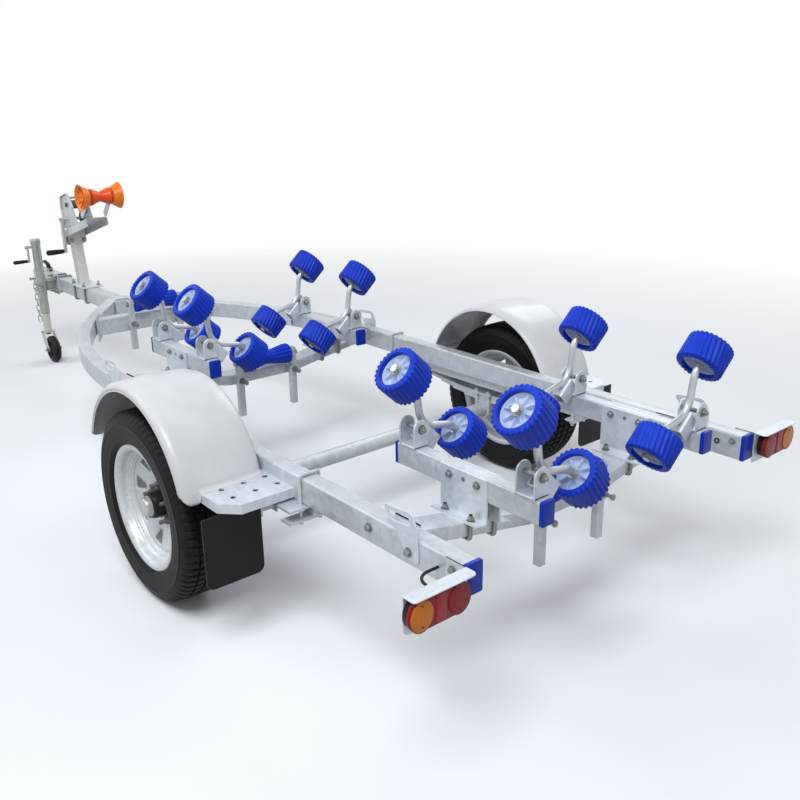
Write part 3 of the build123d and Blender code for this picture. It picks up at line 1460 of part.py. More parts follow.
jockey_half = jockey_wheel_width / 2
with BuildPart() as jockey_wheel:
    jockey_section = Plane(
        origin=(wheel_x, jockey_y, jockey_wheel_radius), x_dir=(0, 1, 0), z_dir=(1, 0, 0)
    )
    with BuildSketch(jockey_section):
        with BuildLine():
            Polyline(
                (-jockey_half, jockey_axle_radius + fit_gap),
                (-jockey_half, 20),
                (-jockey_half + 8, 24),
                (-jockey_half + 8, 46),
                (-jockey_half, 52),
                (-jockey_half, jockey_wheel_radius - jockey_wheel_edge),
                (-jockey_half + jockey_wheel_edge, jockey_wheel_radius),
                (jockey_half - jockey_wheel_edge, jockey_wheel_radius),
                (jockey_half, jockey_wheel_radius - jockey_wheel_edge),
                (jockey_half, 52),
                (jockey_half - 8, 46),
                (jockey_half - 8, 24),
                (jockey_half, 20),
                (jockey_half, jockey_axle_radius + fit_gap),
                close=True,
            )
        make_face()
    revolve(axis=Axis((wheel_x, jockey_y, jockey_wheel_radius), (0, 1, 0)))
export(jockey_wheel.part, "jockey_wheel")

# ================================================================ coupler and safety chain
coupler_half = drawbar_half + coupler_gap + coupler_wall
coupler_rear_x = along(drawbar_front) - coupler_overlap
ball_x = along(ball_reach)
coupler_top = rail_top + coupler_wall
with BuildPart() as coupler:
    for inset, top, mode in (
        (0, coupler_top, Mode.ADD),
        (coupler_wall, rail_top, Mode.SUBTRACT),
    ):
        with BuildSketch(Plane.XY.offset(coupler_bottom)):
            straight = 140.0
            with Locations((coupler_rear_x + straight / 2 - 10 * (mode == Mode.SUBTRACT), 0)):
                Rectangle(straight, 2 * (coupler_half - inset))
            with Locations((ball_x, 0)):
                Circle(coupler_nose_radius - inset)
            make_hull()
        extrude(amount=top - coupler_bottom, mode=mode)
    with BuildSketch(Plane.XY.offset(socket_bottom)):
        with Locations((ball_x, 0)):
            Circle(socket_radius)
    extrude(amount=rail_top - socket_bottom)
    with Locations((ball_x, 0, ball_z)):
        Sphere(ball_radius + ball_play, mode=Mode.SUBTRACT)
    with Locations((ball_x, 0, ball_z - 20)):
        Cylinder(ball_radius + ball_play, 40, mode=Mode.SUBTRACT)
    with BuildLine(Plane.XZ) as handle_path:
        FilletPolyline(*[(along(x), z) for x, z in handle_route], radius=handle_bend)
    with BuildSketch(
        Plane(origin=handle_path.wire() @ 0, x_dir=(0, 1, 0), z_dir=handle_path.wire() % 0)
    ):
        Rectangle(handle_width, handle_thickness)
    sweep(path=handle_path.wire())
    # bolt that the safety chain hangs on
    with BuildSketch(
        Plane(origin=(along(chain_bolt_place), coupler_half - 2, chain_bolt_z), z_dir=(0, 1, 0))
    ):
        Circle(chain_bolt_radius)
    extrude(amount=chain_bolt_reach + 2)
    with BuildSketch(
        Plane(
            origin=(along(chain_bolt_place), coupler_half + chain_bolt_reach, chain_bolt_z),
            z_dir=(0, 1, 0),
        )
    ):
        RegularPolygon(lock_head_radius, 6)
    extrude(amount=6)
export(coupler.part, "coupler")

chain_x = along(chain_bolt_place)
chain_y = coupler_half + chain_bolt_reach / 2
link_inner = chain_pitch + chain_slack
link_set = []
link_z = chain_bolt_z + chain_bolt_radius + seat_gap - link_inner / 2
for number in range(chain_links):
    turned = number % 2 == 1
    link_x_dir = (0, 1, 0) if turned else (1, 0, 0)
    link_z_dir = (1, 0, 0) if turned else (0, -1, 0)
    link_plane = Plane(origin=(chain_x, chain_y, link_z), x_dir=link_x_dir, z_dir=link_z_dir)
    with BuildPart() as chain_link:
        with BuildSketch(link_plane) as link_outside:
            Rectangle(chain_width, link_inner + 2 * chain_wire)
            chamfer(link_outside.vertices(), length=chain_corner)
        extrude(amount=chain_wire / 2, both=True)
        with BuildSketch(link_plane) as link_inside:
            Rectangle(chain_width - 2 * chain_wire, link_inner)
            chamfer(link_inside.vertices(), length=chain_inner_corner)
        extrude(amount=chain_wire / 2, both=True, mode=Mode.SUBTRACT)
    link_set.append(chain_link.part)
    link_z -= chain_pitch
export(Compound(children=link_set), "safety_chain")
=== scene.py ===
import math

import bmesh
import bpy
import numpy as np
from mathutils import Matrix, Vector


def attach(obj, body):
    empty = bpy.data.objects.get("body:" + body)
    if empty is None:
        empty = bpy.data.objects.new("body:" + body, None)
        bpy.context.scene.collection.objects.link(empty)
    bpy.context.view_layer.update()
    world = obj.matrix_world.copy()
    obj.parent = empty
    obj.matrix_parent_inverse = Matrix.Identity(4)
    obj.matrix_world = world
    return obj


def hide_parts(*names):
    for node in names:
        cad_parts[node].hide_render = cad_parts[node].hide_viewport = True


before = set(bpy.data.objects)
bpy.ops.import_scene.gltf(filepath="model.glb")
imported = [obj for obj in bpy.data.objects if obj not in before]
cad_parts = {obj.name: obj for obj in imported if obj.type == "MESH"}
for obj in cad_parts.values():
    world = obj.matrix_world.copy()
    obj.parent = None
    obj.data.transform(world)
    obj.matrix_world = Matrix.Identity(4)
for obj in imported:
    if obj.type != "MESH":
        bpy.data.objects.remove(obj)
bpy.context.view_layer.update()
print("frame loaded")

axleX = -1.021  # metres from the trailer's middle to the wheels' axis
sides = {"left": 1, "right": -1}
fullTurn = 2 * math.pi
ahead, left, upright = np.eye(3)
# Places are (ahead of the axle, to the left, above the ground) in millimetres until makePiece.


class Shape:
    # points with groups of faces, all as whole arrays
    def __init__(self, points, groups):
        self.points = np.asarray(points, float).reshape(-1, 3)
        self.groups = [np.asarray(g, int) for g in groups]

    def mirrored(self):
        # the same shape on the other side of the middle plane, its faces turned to stay outward
        return Shape(self.points * [1, -1, 1], [g[:, ::-1] for g in self.groups])


def joined(shapes):
    # one shape from several: face numbers count on from the points before them
    starts = np.cumsum([0] + [len(s.points) for s in shapes])
    groups = [g + n for s, n in zip(shapes, starts) for g in s.groups]
    return Shape(np.vstack([s.points for s in shapes]), groups)


def bothSides(shapes):
    # the left side's shapes as one, and their mirror
    one = joined(shapes)
    return [one, one.mirrored()]


def unit(v):
    # each row over its own length
    v = np.asarray(v, float)
    return v / np.linalg.norm(v, axis=-1, keepdims=True)


def gridShape(points, closeU=False, closeV=True, flip=False, ends=False):
    # quads between neighbouring points of a grid, wrapped round in a closed direction;
    # ends closes the first and last rows with one flat face each
    points = np.asarray(points, float)
    numbers = np.arange(points[..., 0].size).reshape(points.shape[:2])
    caps = [numbers[:1], numbers[-1:, ::-1]] if ends else []
    if closeU:
        numbers = np.vstack([numbers, numbers[:1]])
    if closeV:
        numbers = np.hstack([numbers, numbers[:, :1]])
    corners = [numbers[:-1, :-1], numbers[1:, :-1], numbers[1:, 1:], numbers[:-1, 1:]]
    faces = [np.stack(corners, -1).reshape(-1, 4)] + caps
    return Shape(points, [f[:, ::-1] if flip else f for f in faces])


def around(centre, axis, first, second, along, radius, angle):
    # centre + along*axis + radius*(cos*first + sin*second), for arrays that spread to one grid
    along, across, rise = np.broadcast_arrays(along, radius * np.cos(angle), radius * np.sin(angle))
    return np.asarray(centre) + along[..., None] * axis + across[..., None] * first + rise[..., None] * second


def ringAngles(count):
    # equal steps once round
    return np.linspace(0, fullTurn, count, endpoint=False)


def lathe(profile, centre, axis, segments=48, closed=True):
    # each profile point (along, radius) turned about the axis
    axis = unit(axis)
    first = unit(np.cross(axis, [0.3, 0.1, 1.0] if abs(axis[2]) < 0.9 else [1.0, 0.2, 0.1]))
    along, radius = np.asarray(profile, float).T[:, :, None]
    points = around(centre, axis, first, np.cross(axis, first), along, radius, ringAngles(segments))
    return gridShape(points, closeU=closed)


def tangentsOf(steps):
    # the way at each point of a route, halfway between the steps that meet there
    return unit(np.vstack([steps[:1], steps[:-1] + steps[1:], steps[-1:]]))


def swept(route, section, side, rise):
    # each section point at each point of the route: route + x*side + y*rise
    x, y = np.asarray(section, float).T[:, None, :, None]
    return route[:, None] + x * side[:, None] + y * rise[:, None]


def carried(route, section, across, startOn=None, endOn=None):
    # a closed section carried along a route: across*x + up*y, up square to the route, mitred at corners;
    # startOn and endOn are planes (point, normal) that the first and last sections slide onto
    route, across = np.asarray(route, float), unit(across)
    steps = unit(np.diff(route, axis=0))
    tangents = tangentsOf(steps)
    mitre = 1 / np.clip(np.sum(tangents * np.vstack([steps, steps[-1:]]), axis=1), 0.3, 1)
    side = unit(across - np.sum(across * tangents, axis=1)[:, None] * tangents)
    points = swept(route, section, side, np.cross(side, tangents) * mitre[:, None])
    for row, plane, step in ((0, startOn, steps[0]), (-1, endOn, steps[-1])):
        if plane is not None:
            point, normal = np.asarray(plane, float)
            slide = ((point - points[row]) @ normal) / (step @ normal)
            points[row] += slide[:, None] * step
    return gridShape(points, ends=True)


def piped(route, radius, segments=12):
    # a round section carried along any route in space, turned as little as possible from step to step
    route = np.asarray(route, float)
    tangents = tangentsOf(np.diff(route, axis=0))
    side = [unit(np.cross(tangents[0], [0.21, 0.35, 0.91]))]
    for tangent in tangents[1:]:
        side.append(unit(side[-1] - np.dot(side[-1], tangent) * tangent))
    side = np.array(side)
    return gridShape(swept(route, circle(radius, segments), side, np.cross(side, tangents)), ends=True)


def arcAt(before, corner, after, radius, steps):
    # the arc that touches both legs of a corner
    legIn, legOut = unit(before - corner), unit(after - corner)
    half = math.acos(max(-1.0, min(1.0, float(np.dot(legIn, legOut))))) / 2
    if radius <= 0 or half > 1.5:
        return [corner]
    middle = corner + unit(legIn + legOut) * radius / math.sin(half)
    fromMiddle = corner + legIn * radius / math.tan(half) - middle
    toMiddle = corner + legOut * radius / math.tan(half) - middle
    sweep = math.pi - 2 * half
    t = np.linspace(0, 1, steps + 1)[:, None]
    return middle + (np.sin((1 - t) * sweep) * fromMiddle + np.sin(t * sweep) * toMiddle) / math.sin(sweep)


def rounded(corners, radii, steps=6):
    # a line of corners with an arc of each radius let in at each inner corner
    corners = np.asarray(corners, float)
    legs = zip(corners, corners[1:], corners[2:], np.broadcast_to(radii, len(corners) - 2))
    return np.vstack([corners[:1], *(arcAt(*leg, steps) for leg in legs), corners[-1:]])


def outlineOf(corners, radii, steps=5):
    # a closed outline with every corner rounded, by one radius or one for each
    corners = np.asarray(corners, float)
    radii = np.broadcast_to(radii, len(corners))
    legs = zip(np.roll(corners, 1, 0), corners, np.roll(corners, -1, 0), radii)
    return np.vstack([arcAt(*leg, steps) for leg in legs])


def rectangle(width, height, radius, steps=5):
    # a rounded rectangle about the origin, anticlockwise
    w, h = width / 2, height / 2
    return outlineOf([(w, -h), (w, h), (-w, h), (-w, -h)], radius, steps)


def circle(radius, count=16):
    # x = radius * cos(angle), y = radius * sin(angle)
    return radius * np.stack([np.cos(ringAngles(count)), np.sin(ringAngles(count))], 1)


def drawnIn(outline, amount):
    # an anticlockwise outline moved inwards by amount, square to its sides
    outline = np.asarray(outline, float)
    edge = np.roll(outline, -1, 0) - outline
    edge = edge / np.maximum(np.linalg.norm(edge, axis=1), 1e-9)[:, None]
    normal = np.stack([-edge[:, 1], edge[:, 0]], 1)
    before = np.roll(normal, 1, 0)
    both = 1 + np.sum(normal * before, axis=1)
    return outline + amount * (normal + before) / np.maximum(both, 0.2)[:, None]


def ring(outline, origin, xDir, yDir, inward, level):
    # an outline drawn in, laid in the plane of xDir and yDir and lifted along xDir x yDir
    xDir, yDir = unit(xDir), unit(yDir)
    x, y = drawnIn(outline, inward).T[:, :, None]
    return np.asarray(origin) + x * xDir + y * yDir + level * np.cross(xDir, yDir)


def slab(outline, origin, xDir, yDir, thickness, edge=0.8, hole=None):
    # an outline given a thickness along xDir x yDir, its edges eased;
    # a hole has as many points as the outline, and the faces then run between the two
    levels = [(edge, 0), (0, edge), (0, thickness - edge), (edge, thickness)]
    rows = [ring(outline, origin, xDir, yDir, *pair) for pair in levels]
    if hole is None:
        return gridShape(rows, flip=True, ends=True)
    rows += [ring(hole, origin, xDir, yDir, -inward, level) for inward, level in levels[::-1]]
    return gridShape(rows, closeU=True, flip=True)


def pillow(outline, origin, xDir, yDir, thickness, roundness, steps=6):
    # an outline raised to a rounded edge: inset = roundness * (1 - cos t), level = rise with sin t
    turn = np.linspace(0, math.pi / 2, steps)
    levels = [(roundness * (1 - math.cos(t)), thickness - roundness * (1 - math.sin(t))) for t in turn]
    return gridShape([ring(outline, origin, xDir, yDir, *pair) for pair in [(0, 0)] + levels], ends=True)


def blockShape(low, high, edge=1.0):
    # a box between two corners with eased edges
    low, high = np.minimum(low, high).astype(float), np.maximum(low, high).astype(float)
    length, width, height = high - low
    outline = outlineOf([(length, 0), (length, width), (0, width), (0, 0)], edge * 2, 2)
    return slab(outline, low, ahead, left, height, edge)


def rod(start, end, radius, segments=16, edge=0.8):
    # a straight round bar with eased ends
    start, end = np.asarray(start, float), np.asarray(end, float)
    length = np.linalg.norm(end - start)
    profile = [(length, 0.0), (length, radius - edge), (length - edge, radius), (edge, radius)]
    return lathe(profile + [(0, radius - edge), (0, 0.0)], start, end - start, segments, closed=False)


def hexHead(centre, axis, width, height):
    # a hexagon across corners of width, its outer edge eased
    axis = unit(axis)
    xDir = unit(np.cross(axis, [0.31, 0.17, 0.93]))
    return slab(circle(width / 2, 6), centre, xDir, np.cross(axis, xDir), height, height * 0.14)


def threadShape(base, axis, places, radius, depth, tip, segments=12):
    # a bolt's end: the radius steps in by depth at every other place, then closes over the tip's points
    steps = radius - depth * (np.arange(len(places)) % 2)
    profile = [(places[0], 0.0), *zip(places, steps), *tip]
    return lathe(profile[::-1], base, axis, segments, closed=False)


def boltHead(centre, axis, size=16.0, height=7.0, end=0.0):
    # washer, hexagon and, where end is given, the bolt's thread standing out of the nut
    axis, centre = unit(axis), np.asarray(centre, float)
    parts = [
        rod(centre, centre + axis * 2.2, size * 0.72, 18, 0.5),
        hexHead(centre + axis * 2.2, axis, size * 1.08, height),
    ]
    if end:
        tip = [(end, size * 0.24), (end, 0.0)]
        base = centre + axis * (height + 2)
        parts.append(threadShape(base, axis, np.arange(0, end, 0.9), size * 0.29, 0.45, tip))
    return joined(parts)


def uBolt(centre, acrossDir, upDir, half, low, high, plateTop, bar=5.0, nut=8.0):
    # a bent bar round a tube: legs at both sides, nuts on the plate and threaded ends
    centre, acrossDir, upDir = (np.asarray(v, float) for v in (centre, acrossDir, upDir))
    line = rounded([(-half, high), (-half, low), (half, low), (half, high)], bar * 2.0, 6)
    parts = [piped(centre + line[:, :1] * acrossDir + line[:, 1:] * upDir, bar, 12)]
    outward = upDir * np.sign(high - low)
    places = np.arange(0, abs(high - plateTop) - nut - 2, 0.9)
    for end in (-half, half):
        parts.append(boltHead(centre + acrossDir * end + upDir * plateTop, outward, bar * 3.2, nut))
        if len(places) > 2:
            top = centre + acrossDir * end + upDir * high
            parts.append(threadShape(top, -outward, places, bar + 0.35, 0.5, [(places[-1] + 0.5, 0.0)]))
    return joined(parts)


def makePiece(name, shapes, finish, body="frame", node="", smooth=32, way=1):
    # metres from millimetres, seams closed, faces outward; way -1 puts it on the right side.
    # Then it rides on its body and, where a node is named, stands in for it
    shape = joined(shapes) if isinstance(shapes, (list, tuple)) else shapes
    if way < 0:
        shape = shape.mirrored()
    mesh = bpy.data.meshes.new(name)
    faces = [row for group in shape.groups for row in group.tolist()]
    mesh.from_pydata((shape.points * 0.001 + [axleX, 0, 0]).tolist(), [], faces)
    tidy = bmesh.new()
    tidy.from_mesh(mesh)
    bmesh.ops.remove_doubles(tidy, verts=tidy.verts, dist=2e-6)
    bmesh.ops.recalc_face_normals(tidy, faces=tidy.faces)
    tidy.to_mesh(mesh)
    tidy.free()
    mesh.shade_smooth()
    mesh.set_sharp_from_angle(angle=math.radians(smooth))
    mesh.materials.append(finishes[finish][0])
    piece = bpy.data.objects.new(name, mesh)
    bpy.context.scene.collection.objects.link(piece)
    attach(piece, body)
    if node:
        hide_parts(node)
    return piece


def thicken(piece, wall):
    # a sheet gets its wall inwards
    thick = piece.modifiers.new("wall", "SOLIDIFY")
    thick.thickness = wall / 1000
    thick.offset = -1.0


def paintNode(node, finish):
    # a CAD node that stays in view gets this finish
    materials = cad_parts[node].data.materials
    materials.clear()
    materials.append(finishes[finish][0])


def mathNode(operation, swapped=False):
    # the method for one operator: it adds a Math node for self and other
    def result(self, other):
        first, second = (other, self) if swapped else (self, other)
        return self.sheet.add("ShaderNodeMath", {"operation": operation}, {0: first, 1: second})

    return result


class Wire:
    # a wrapped socket that can be added, multiplied and so on
    def __init__(self, sheet, socket):
        self.sheet, self.socket = sheet, socket

    __add__ = __radd__ = mathNode("ADD")
    __mul__ = __rmul__ = mathNode("MULTIPLY")
    __sub__, __rsub__ = mathNode("SUBTRACT"), mathNode("SUBTRACT", True)
    __truediv__, __rtruediv__ = mathNode("DIVIDE"), mathNode("DIVIDE", True)
    pingPong, larger = mathNode("PINGPONG"), mathNode("MAXIMUM")


def colourOf(value):
    # a colour of three numbers with full opacity; anything else as it is
    return (*value, 1.0) if isinstance(value, tuple) and len(value) == 3 else value


class Finish:
    # one material: add() makes any node, and the shader's own sockets are set at the end
    def __init__(self, name, makers=bpy.data.materials):
        self.material = makers.new(name)
        self.material.use_nodes = True
        self.tree = self.material.node_tree
        self.tree.nodes.clear()
        self.place = self.add("ShaderNodeTexCoord", {}, {}, "Object")

    def add(self, kind, settings, inputs, output=0):
        # any node by type, settings and inputs; gives the wanted output
        node = self.tree.nodes.new(kind)
        for key, value in settings.items():
            setattr(node, key, value)
        for key, value in inputs.items():
            if isinstance(value, Wire):
                self.tree.links.new(value.socket, node.inputs[key])
            else:
                node.inputs[key].default_value = colourOf(value) if node.inputs[key].type == "RGBA" else value
        return Wire(self, node.outputs[output]) if len(node.outputs) else None

    def noise(self, scale, detail=3.0, rough=0.5, vector=None):
        # clouds with this many to the metre
        inputs = {"Vector": vector or self.place, "Scale": scale, "Detail": detail, "Roughness": rough}
        return self.add("ShaderNodeTexNoise", {}, inputs, "Fac")

    def between(self, value, low, high, outLow=0.0, outHigh=1.0):
        # a value stretched from one range to another, clamped at its ends
        inputs = {0: value, 1: low, 2: high, 3: outLow, 4: outHigh}
        return self.add("ShaderNodeMapRange", {"clamp": True}, inputs)

    def mix(self, amount, first, second):
        # from the first colour to the second
        return self.add("ShaderNodeMix", {"data_type": "RGBA"}, {0: amount, 6: first, 7: second}, 2)

    def stretched(self, scale):
        # the place stretched along each axis
        return self.add("ShaderNodeMapping", {}, {0: self.place, 3: scale})

    def picture(self):
        # one where a ray comes from the camera, a reflection or through glass, else nought
        rays = ("Is Camera Ray", "Is Glossy Ray", "Is Transmission Ray")
        camera, gloss, through = (self.add("ShaderNodeLightPath", {}, {}, ray) for ray in rays)
        return camera.larger(gloss).larger(through)

    def bump(self, height, strength, distance):
        # a normal tilted by the slope of height
        inputs = {"Height": height, "Strength": strength, "Distance": distance}
        return self.add("ShaderNodeBump", {}, inputs)

    def done(self, **sockets):
        # the Principled shader with these sockets, named as in Blender without their spaces
        shader = self.tree.nodes.new("ShaderNodeBsdfPrincipled")
        names = {key.replace(" ", ""): key for key in shader.inputs.keys()}
        for key, value in sockets.items():
            if isinstance(value, Wire):
                self.tree.links.new(value.socket, shader.inputs[names[key]])
            else:
                shader.inputs[names[key]].default_value = value
        output = self.tree.nodes.new("ShaderNodeOutputMaterial")
        self.tree.links.new(shader.outputs[0], output.inputs[0])
        return self.material


zincLight, zincDark = (0.70, 0.73, 0.76), (0.50, 0.525, 0.54)


def galvanised(name, light=zincLight, dark=zincDark, spangle=85.0, metal=0.34):
    # zinc crystals from cell noise, spangle to the metre, clouded by a wide noise, with runs down the faces
    f = Finish(name)
    shift = f.stretched((0.003, 0.003, 0.003))
    warped = f.add("ShaderNodeVectorMath", {"operation": "ADD"}, {0: f.place, 1: shift})
    cells = f.add("ShaderNodeTexVoronoi", {"feature": "F1"}, {"Vector": warped, "Scale": spangle}, "Color")
    cellTone = f.add("ShaderNodeSeparateColor", {}, {0: cells}, 0)
    cloud = f.noise(5.0, 4.0, 0.6)
    runs = f.noise(1.0, 3.0, 0.6, f.stretched((40.0, 40.0, 6.0)))
    grit = f.noise(900.0, 2.0, 0.5)
    return f.done(
        BaseColor=f.mix(f.between(cellTone * 0.30 + cloud * 0.75 + runs * 0.25, 0.35, 0.95), dark, light),
        Metallic=metal,
        Roughness=f.between(cellTone * 0.5 + grit * 0.5, 0.2, 0.8, 0.30, 0.52),
        SpecularIORLevel=0.3,
        Normal=f.bump(cellTone * 0.4 + grit * 0.6, 0.12, 0.0006),
    )


def zincPlate(name, light, dark, rough=0.28, metal=0.6):
    # smooth plating with faint drawn lines and clouding
    f = Finish(name)
    lines = f.noise(1.0, 2.0, 0.5, f.stretched((300.0, 300.0, 25.0)))
    cloud = f.noise(14.0, 3.0, 0.6)
    return f.done(
        BaseColor=f.mix(f.between(cloud * 0.7 + lines * 0.3, 0.3, 0.75), dark, light),
        Metallic=metal,
        Roughness=f.between(f.noise(160.0, 4.0, 0.7), 0.5, 0.75, rough, rough + 0.2),
        SpecularIORLevel=0.3,
        Normal=f.bump(lines, 0.08, 0.0004),
    )


def polymer(name, light, dark, rough=0.38, grain=1400.0, depth=0.00025, gloss=0.2, coat=0.0, glow=0.0):
    # moulded polymer: a wide shift of tone, a fine moulded grain and dull patches where it is handled
    f = Finish(name)
    cloud = f.noise(9.0, 3.0, 0.55)
    fine = f.noise(grain, 2.0, 0.5)
    return f.done(
        BaseColor=f.mix(f.between(cloud * 0.85 + fine * 0.15, 0.32, 0.7), dark, light),
        Roughness=f.between(f.noise(38.0, 4.0, 0.65), 0.4, 0.75, rough, rough + 0.14),
        SpecularIORLevel=gloss,
        CoatWeight=coat,
        CoatRoughness=0.12,
        SubsurfaceWeight=glow,
        SubsurfaceRadius=(0.01, 0.01, 0.012),
        SubsurfaceScale=0.3,
        Normal=f.bump(fine, 0.25, depth),
    )


def lensPaint(name, light, dark, grid):
    # moulded lens: small square prisms under a thin clear coat; the colour follows their relief, lighter on
    # the prism tops and darker in the grooves between them, which is painted highlight and painted shade
    f = Finish(name)
    rows, columns = (f.add("ShaderNodeSeparateXYZ", {}, {0: f.place}, axis).pingPong(grid) for axis in (1, 2))
    relief = (rows + columns) / (2 * grid)
    return f.done(
        # painted highlight on the prism tops and painted shade in the grooves, taken from the relief
        BaseColor=f.mix(f.between(relief, 0.1, 0.9), dark, light),
        Roughness=0.24,
        SpecularIORLevel=0.22,
        CoatWeight=0.1,
        CoatRoughness=0.06,
        Normal=f.bump(relief, 0.35, 0.0012),
    )


def tyrePaint(name):
    # matt rubber, paler dust low in the relief and a fine moulded grain
    f = Finish(name)
    fine = f.noise(1100.0, 2.0, 0.5)
    dust = f.between(f.noise(22.0, 4.0, 0.65), 0.5, 0.8)
    return f.done(
        BaseColor=f.mix(dust * 0.6, (0.007, 0.007, 0.008), (0.018, 0.018, 0.019)),
        Roughness=f.between(fine, 0.3, 0.7, 0.44, 0.64),
        SpecularIORLevel=0.16,
        Normal=f.bump(fine, 0.3, 0.0004),
    )


# each finish with the name of a slot beside it
finishes = {
    "steel": (galvanised("galvanised steel"), "galvanised"),
    "tube": (galvanised("galvanised tube", spangle=60.0), "galvanised"),
    "wheel": (galvanised("galvanised wheel", (0.74, 0.76, 0.77), (0.56, 0.58, 0.59), 110.0), "rim_steel"),
    "plate": (galvanised("galvanised plate", (0.76, 0.80, 0.84), (0.60, 0.64, 0.68)), "galvanised"),
    "zinc": (zincPlate("zinc plate", (0.62, 0.62, 0.58), (0.44, 0.45, 0.43)), "zinc_steel"),
    "cream": (zincPlate("cream plate", (0.74, 0.73, 0.66), (0.62, 0.61, 0.55), 0.34, 0.2), "galvanised"),
    "jack": (zincPlate("grey zinc", (0.50, 0.53, 0.49), (0.30, 0.33, 0.30), 0.3, 0.55), "galvanised"),
    "post": (galvanised("galvanised post", (0.70, 0.70, 0.66), (0.56, 0.56, 0.53)), "galvanised"),
    "bolt": (zincPlate("bolt steel", (0.36, 0.36, 0.345), (0.21, 0.215, 0.215), 0.3), "zinc_steel"),
    "bar": (zincPlate("bar steel", (0.66, 0.68, 0.69), (0.48, 0.50, 0.52), 0.32), "galvanised"),
    "darkSteel": (zincPlate("dark steel", (0.16, 0.16, 0.15), (0.07, 0.07, 0.07), 0.34, 0.5), "black_steel"),
    "stud": (zincPlate("stud steel", (0.20, 0.20, 0.19), (0.09, 0.09, 0.09), 0.34), "black_steel"),
    "tyre": (tyrePaint("tyre rubber"), "tyre"),
    "red": (lensPaint("lens red", (0.36, 0.010, 0.010), (0.19, 0.004, 0.005), 0.0028), "lamp_lens"),
    "amber": (lensPaint("lens amber", (0.86, 0.27, 0.008), (0.58, 0.13, 0.004), 0.0026), "lamp_lens"),
    "reflector": (
        lensPaint("lens reflector", (0.50, 0.014, 0.014), (0.28, 0.005, 0.008), 0.0015),
        "lamp_lens",
    ),
}
# moulded ones: slot, light and dark colour, then roughness, grain, depth, gloss, coat and glow if given
orange, white = "roller_orange", "fender_plastic"
moulded = {
    "black steel": ("black_steel", (0.014, 0.014, 0.016), (0.008, 0.008, 0.009), 0.35, 700.0, 0.0002),
    "roller blue": ("roller_blue", (0.003, 0.052, 0.62), (0.001, 0.030, 0.44), 0.36, 1500.0, 0.0003),
    "cap blue": ("cap_plastic", (0.001, 0.040, 0.50), (0.001, 0.028, 0.38), 0.30, 1500.0, 0.0002),
    "roller hub": ("roller_blue", (0.62, 0.70, 0.84), (0.50, 0.60, 0.77), 0.34, 900.0, 0.0002, 0.3, 0.0, 0.3),
    "bow orange": (orange, (0.96, 0.11, 0.008), (0.86, 0.075, 0.006), 0.28, 1200.0, 0.0002, 0.3, 0.1, 0.15),
    "bow bell": (orange, (0.98, 0.27, 0.008), (0.95, 0.20, 0.006), 0.28, 1200.0, 0.0002, 0.3, 0.1, 0.15),
    "fender white": (white, (0.72, 0.72, 0.72), (0.64, 0.645, 0.65), 0.28, 500.0, 0.0003, 0.4, 0.15),
    "flap rubber": ("flap_rubber", (0.011, 0.011, 0.012), (0.006, 0.006, 0.007), 0.42, 900.0, 0.0003),
    "black moulding": ("lamp_housing", (0.014, 0.014, 0.015), (0.007, 0.007, 0.008), 0.42, 1300.0, 0.0003),
    "grip": ("lamp_housing", (0.018, 0.018, 0.019), (0.009, 0.009, 0.010), 0.5, 700.0, 0.0006),
    "cable": ("cable", (0.014, 0.014, 0.015), (0.008, 0.008, 0.009), 0.45, 1500.0, 0.0002),
}
finishes.update({name: (polymer(name, *look), slotName) for name, (slotName, *look) in moulded.items()})
print("finishes made")

# side rails and drawbar
rail = {
    "outerY": 574.0,
    "width": 50.0,
    "height": 75.0,
    "top": 471.0,
    "corner": 7.0,
    "rearEnd": -1083.0,
    "bendStart": 720.0,
    "bendRadius": 1775.0,
    "bendAngle": 35.5,
    "drawbarWidth": 70.0,
    "drawbarRear": 1966.0,
    "drawbarFront": 2905.0,
    "grommetAt": -1004.0,
    "boltsAt": -960.0,
}
railY = rail["outerY"] - rail["width"] / 2
railZ = rail["top"] - rail["height"] / 2
innerY = rail["outerY"] - rail["width"]


def railRoute():
    # straight from the rear end, an arc inwards, then straight on to the drawbar
    turn = np.radians(np.linspace(0, rail["bendAngle"], 44))
    x = rail["bendStart"] + rail["bendRadius"] * np.sin(turn)
    y = railY - rail["bendRadius"] * (1 - np.cos(turn))
    last = 20.0  # the bar ends this far beside the middle
    end = [x[-1] + (y[-1] - last) / math.tan(turn[-1]), last]
    plan = np.vstack([[rail["rearEnd"], railY], np.stack([x, y], 1), end])
    return np.column_stack([plan, np.full(len(plan), railZ - 0.15)])


def makeRails():
    # the curved rails with bolts and a grommet each, then the drawbar and the web of the fork
    half = rail["drawbarWidth"] / 2
    section = rectangle(rail["height"] - 0.3, rail["width"], rail["corner"])
    tube = carried(railRoute(), section, upright, endOn=((0, half - 1.5, 0), left))
    spots = [(rail["boltsAt"], innerY, rail["top"] - down) for down in (20, 46)]
    bolts = [boltHead(spot, -left, 14, 6, 5) for spot in spots]
    lip = [(0, 7.0), (1.6, 8.4), (3.2, 8.0), (3.6, 5.6), (2.4, 4.6), (0, 4.6)]
    grommet = lathe(lip, (rail["grommetAt"], innerY + 0.4, rail["top"] - 34), -left, 24)
    for side, way in sides.items():
        makePiece(f"rail_{side}_tube", tube, "tube", node="rail_" + side, way=way)
        makePiece(f"rail_{side}_bolts", bolts, "bolt", way=way)
        makePiece(f"rail_{side}_grommet", grommet, "black moulding", way=way)
    rear = rail["drawbarRear"]
    section = rectangle(rail["drawbarWidth"], rail["height"], rail["corner"])
    bar = carried([(rear, 0, railZ), (rail["drawbarFront"], 0, railZ)], section, left)
    # a web closes the fork just behind the drawbar
    outline = outlineOf([(-14, -52), (-14, 52), (0, 46), (0, -46)], 2)
    web = slab(outline, (rear - 22, 0, railZ - 34), ahead, left, 68)
    makePiece("drawbar_tube", [bar, web], "tube", node="drawbar")


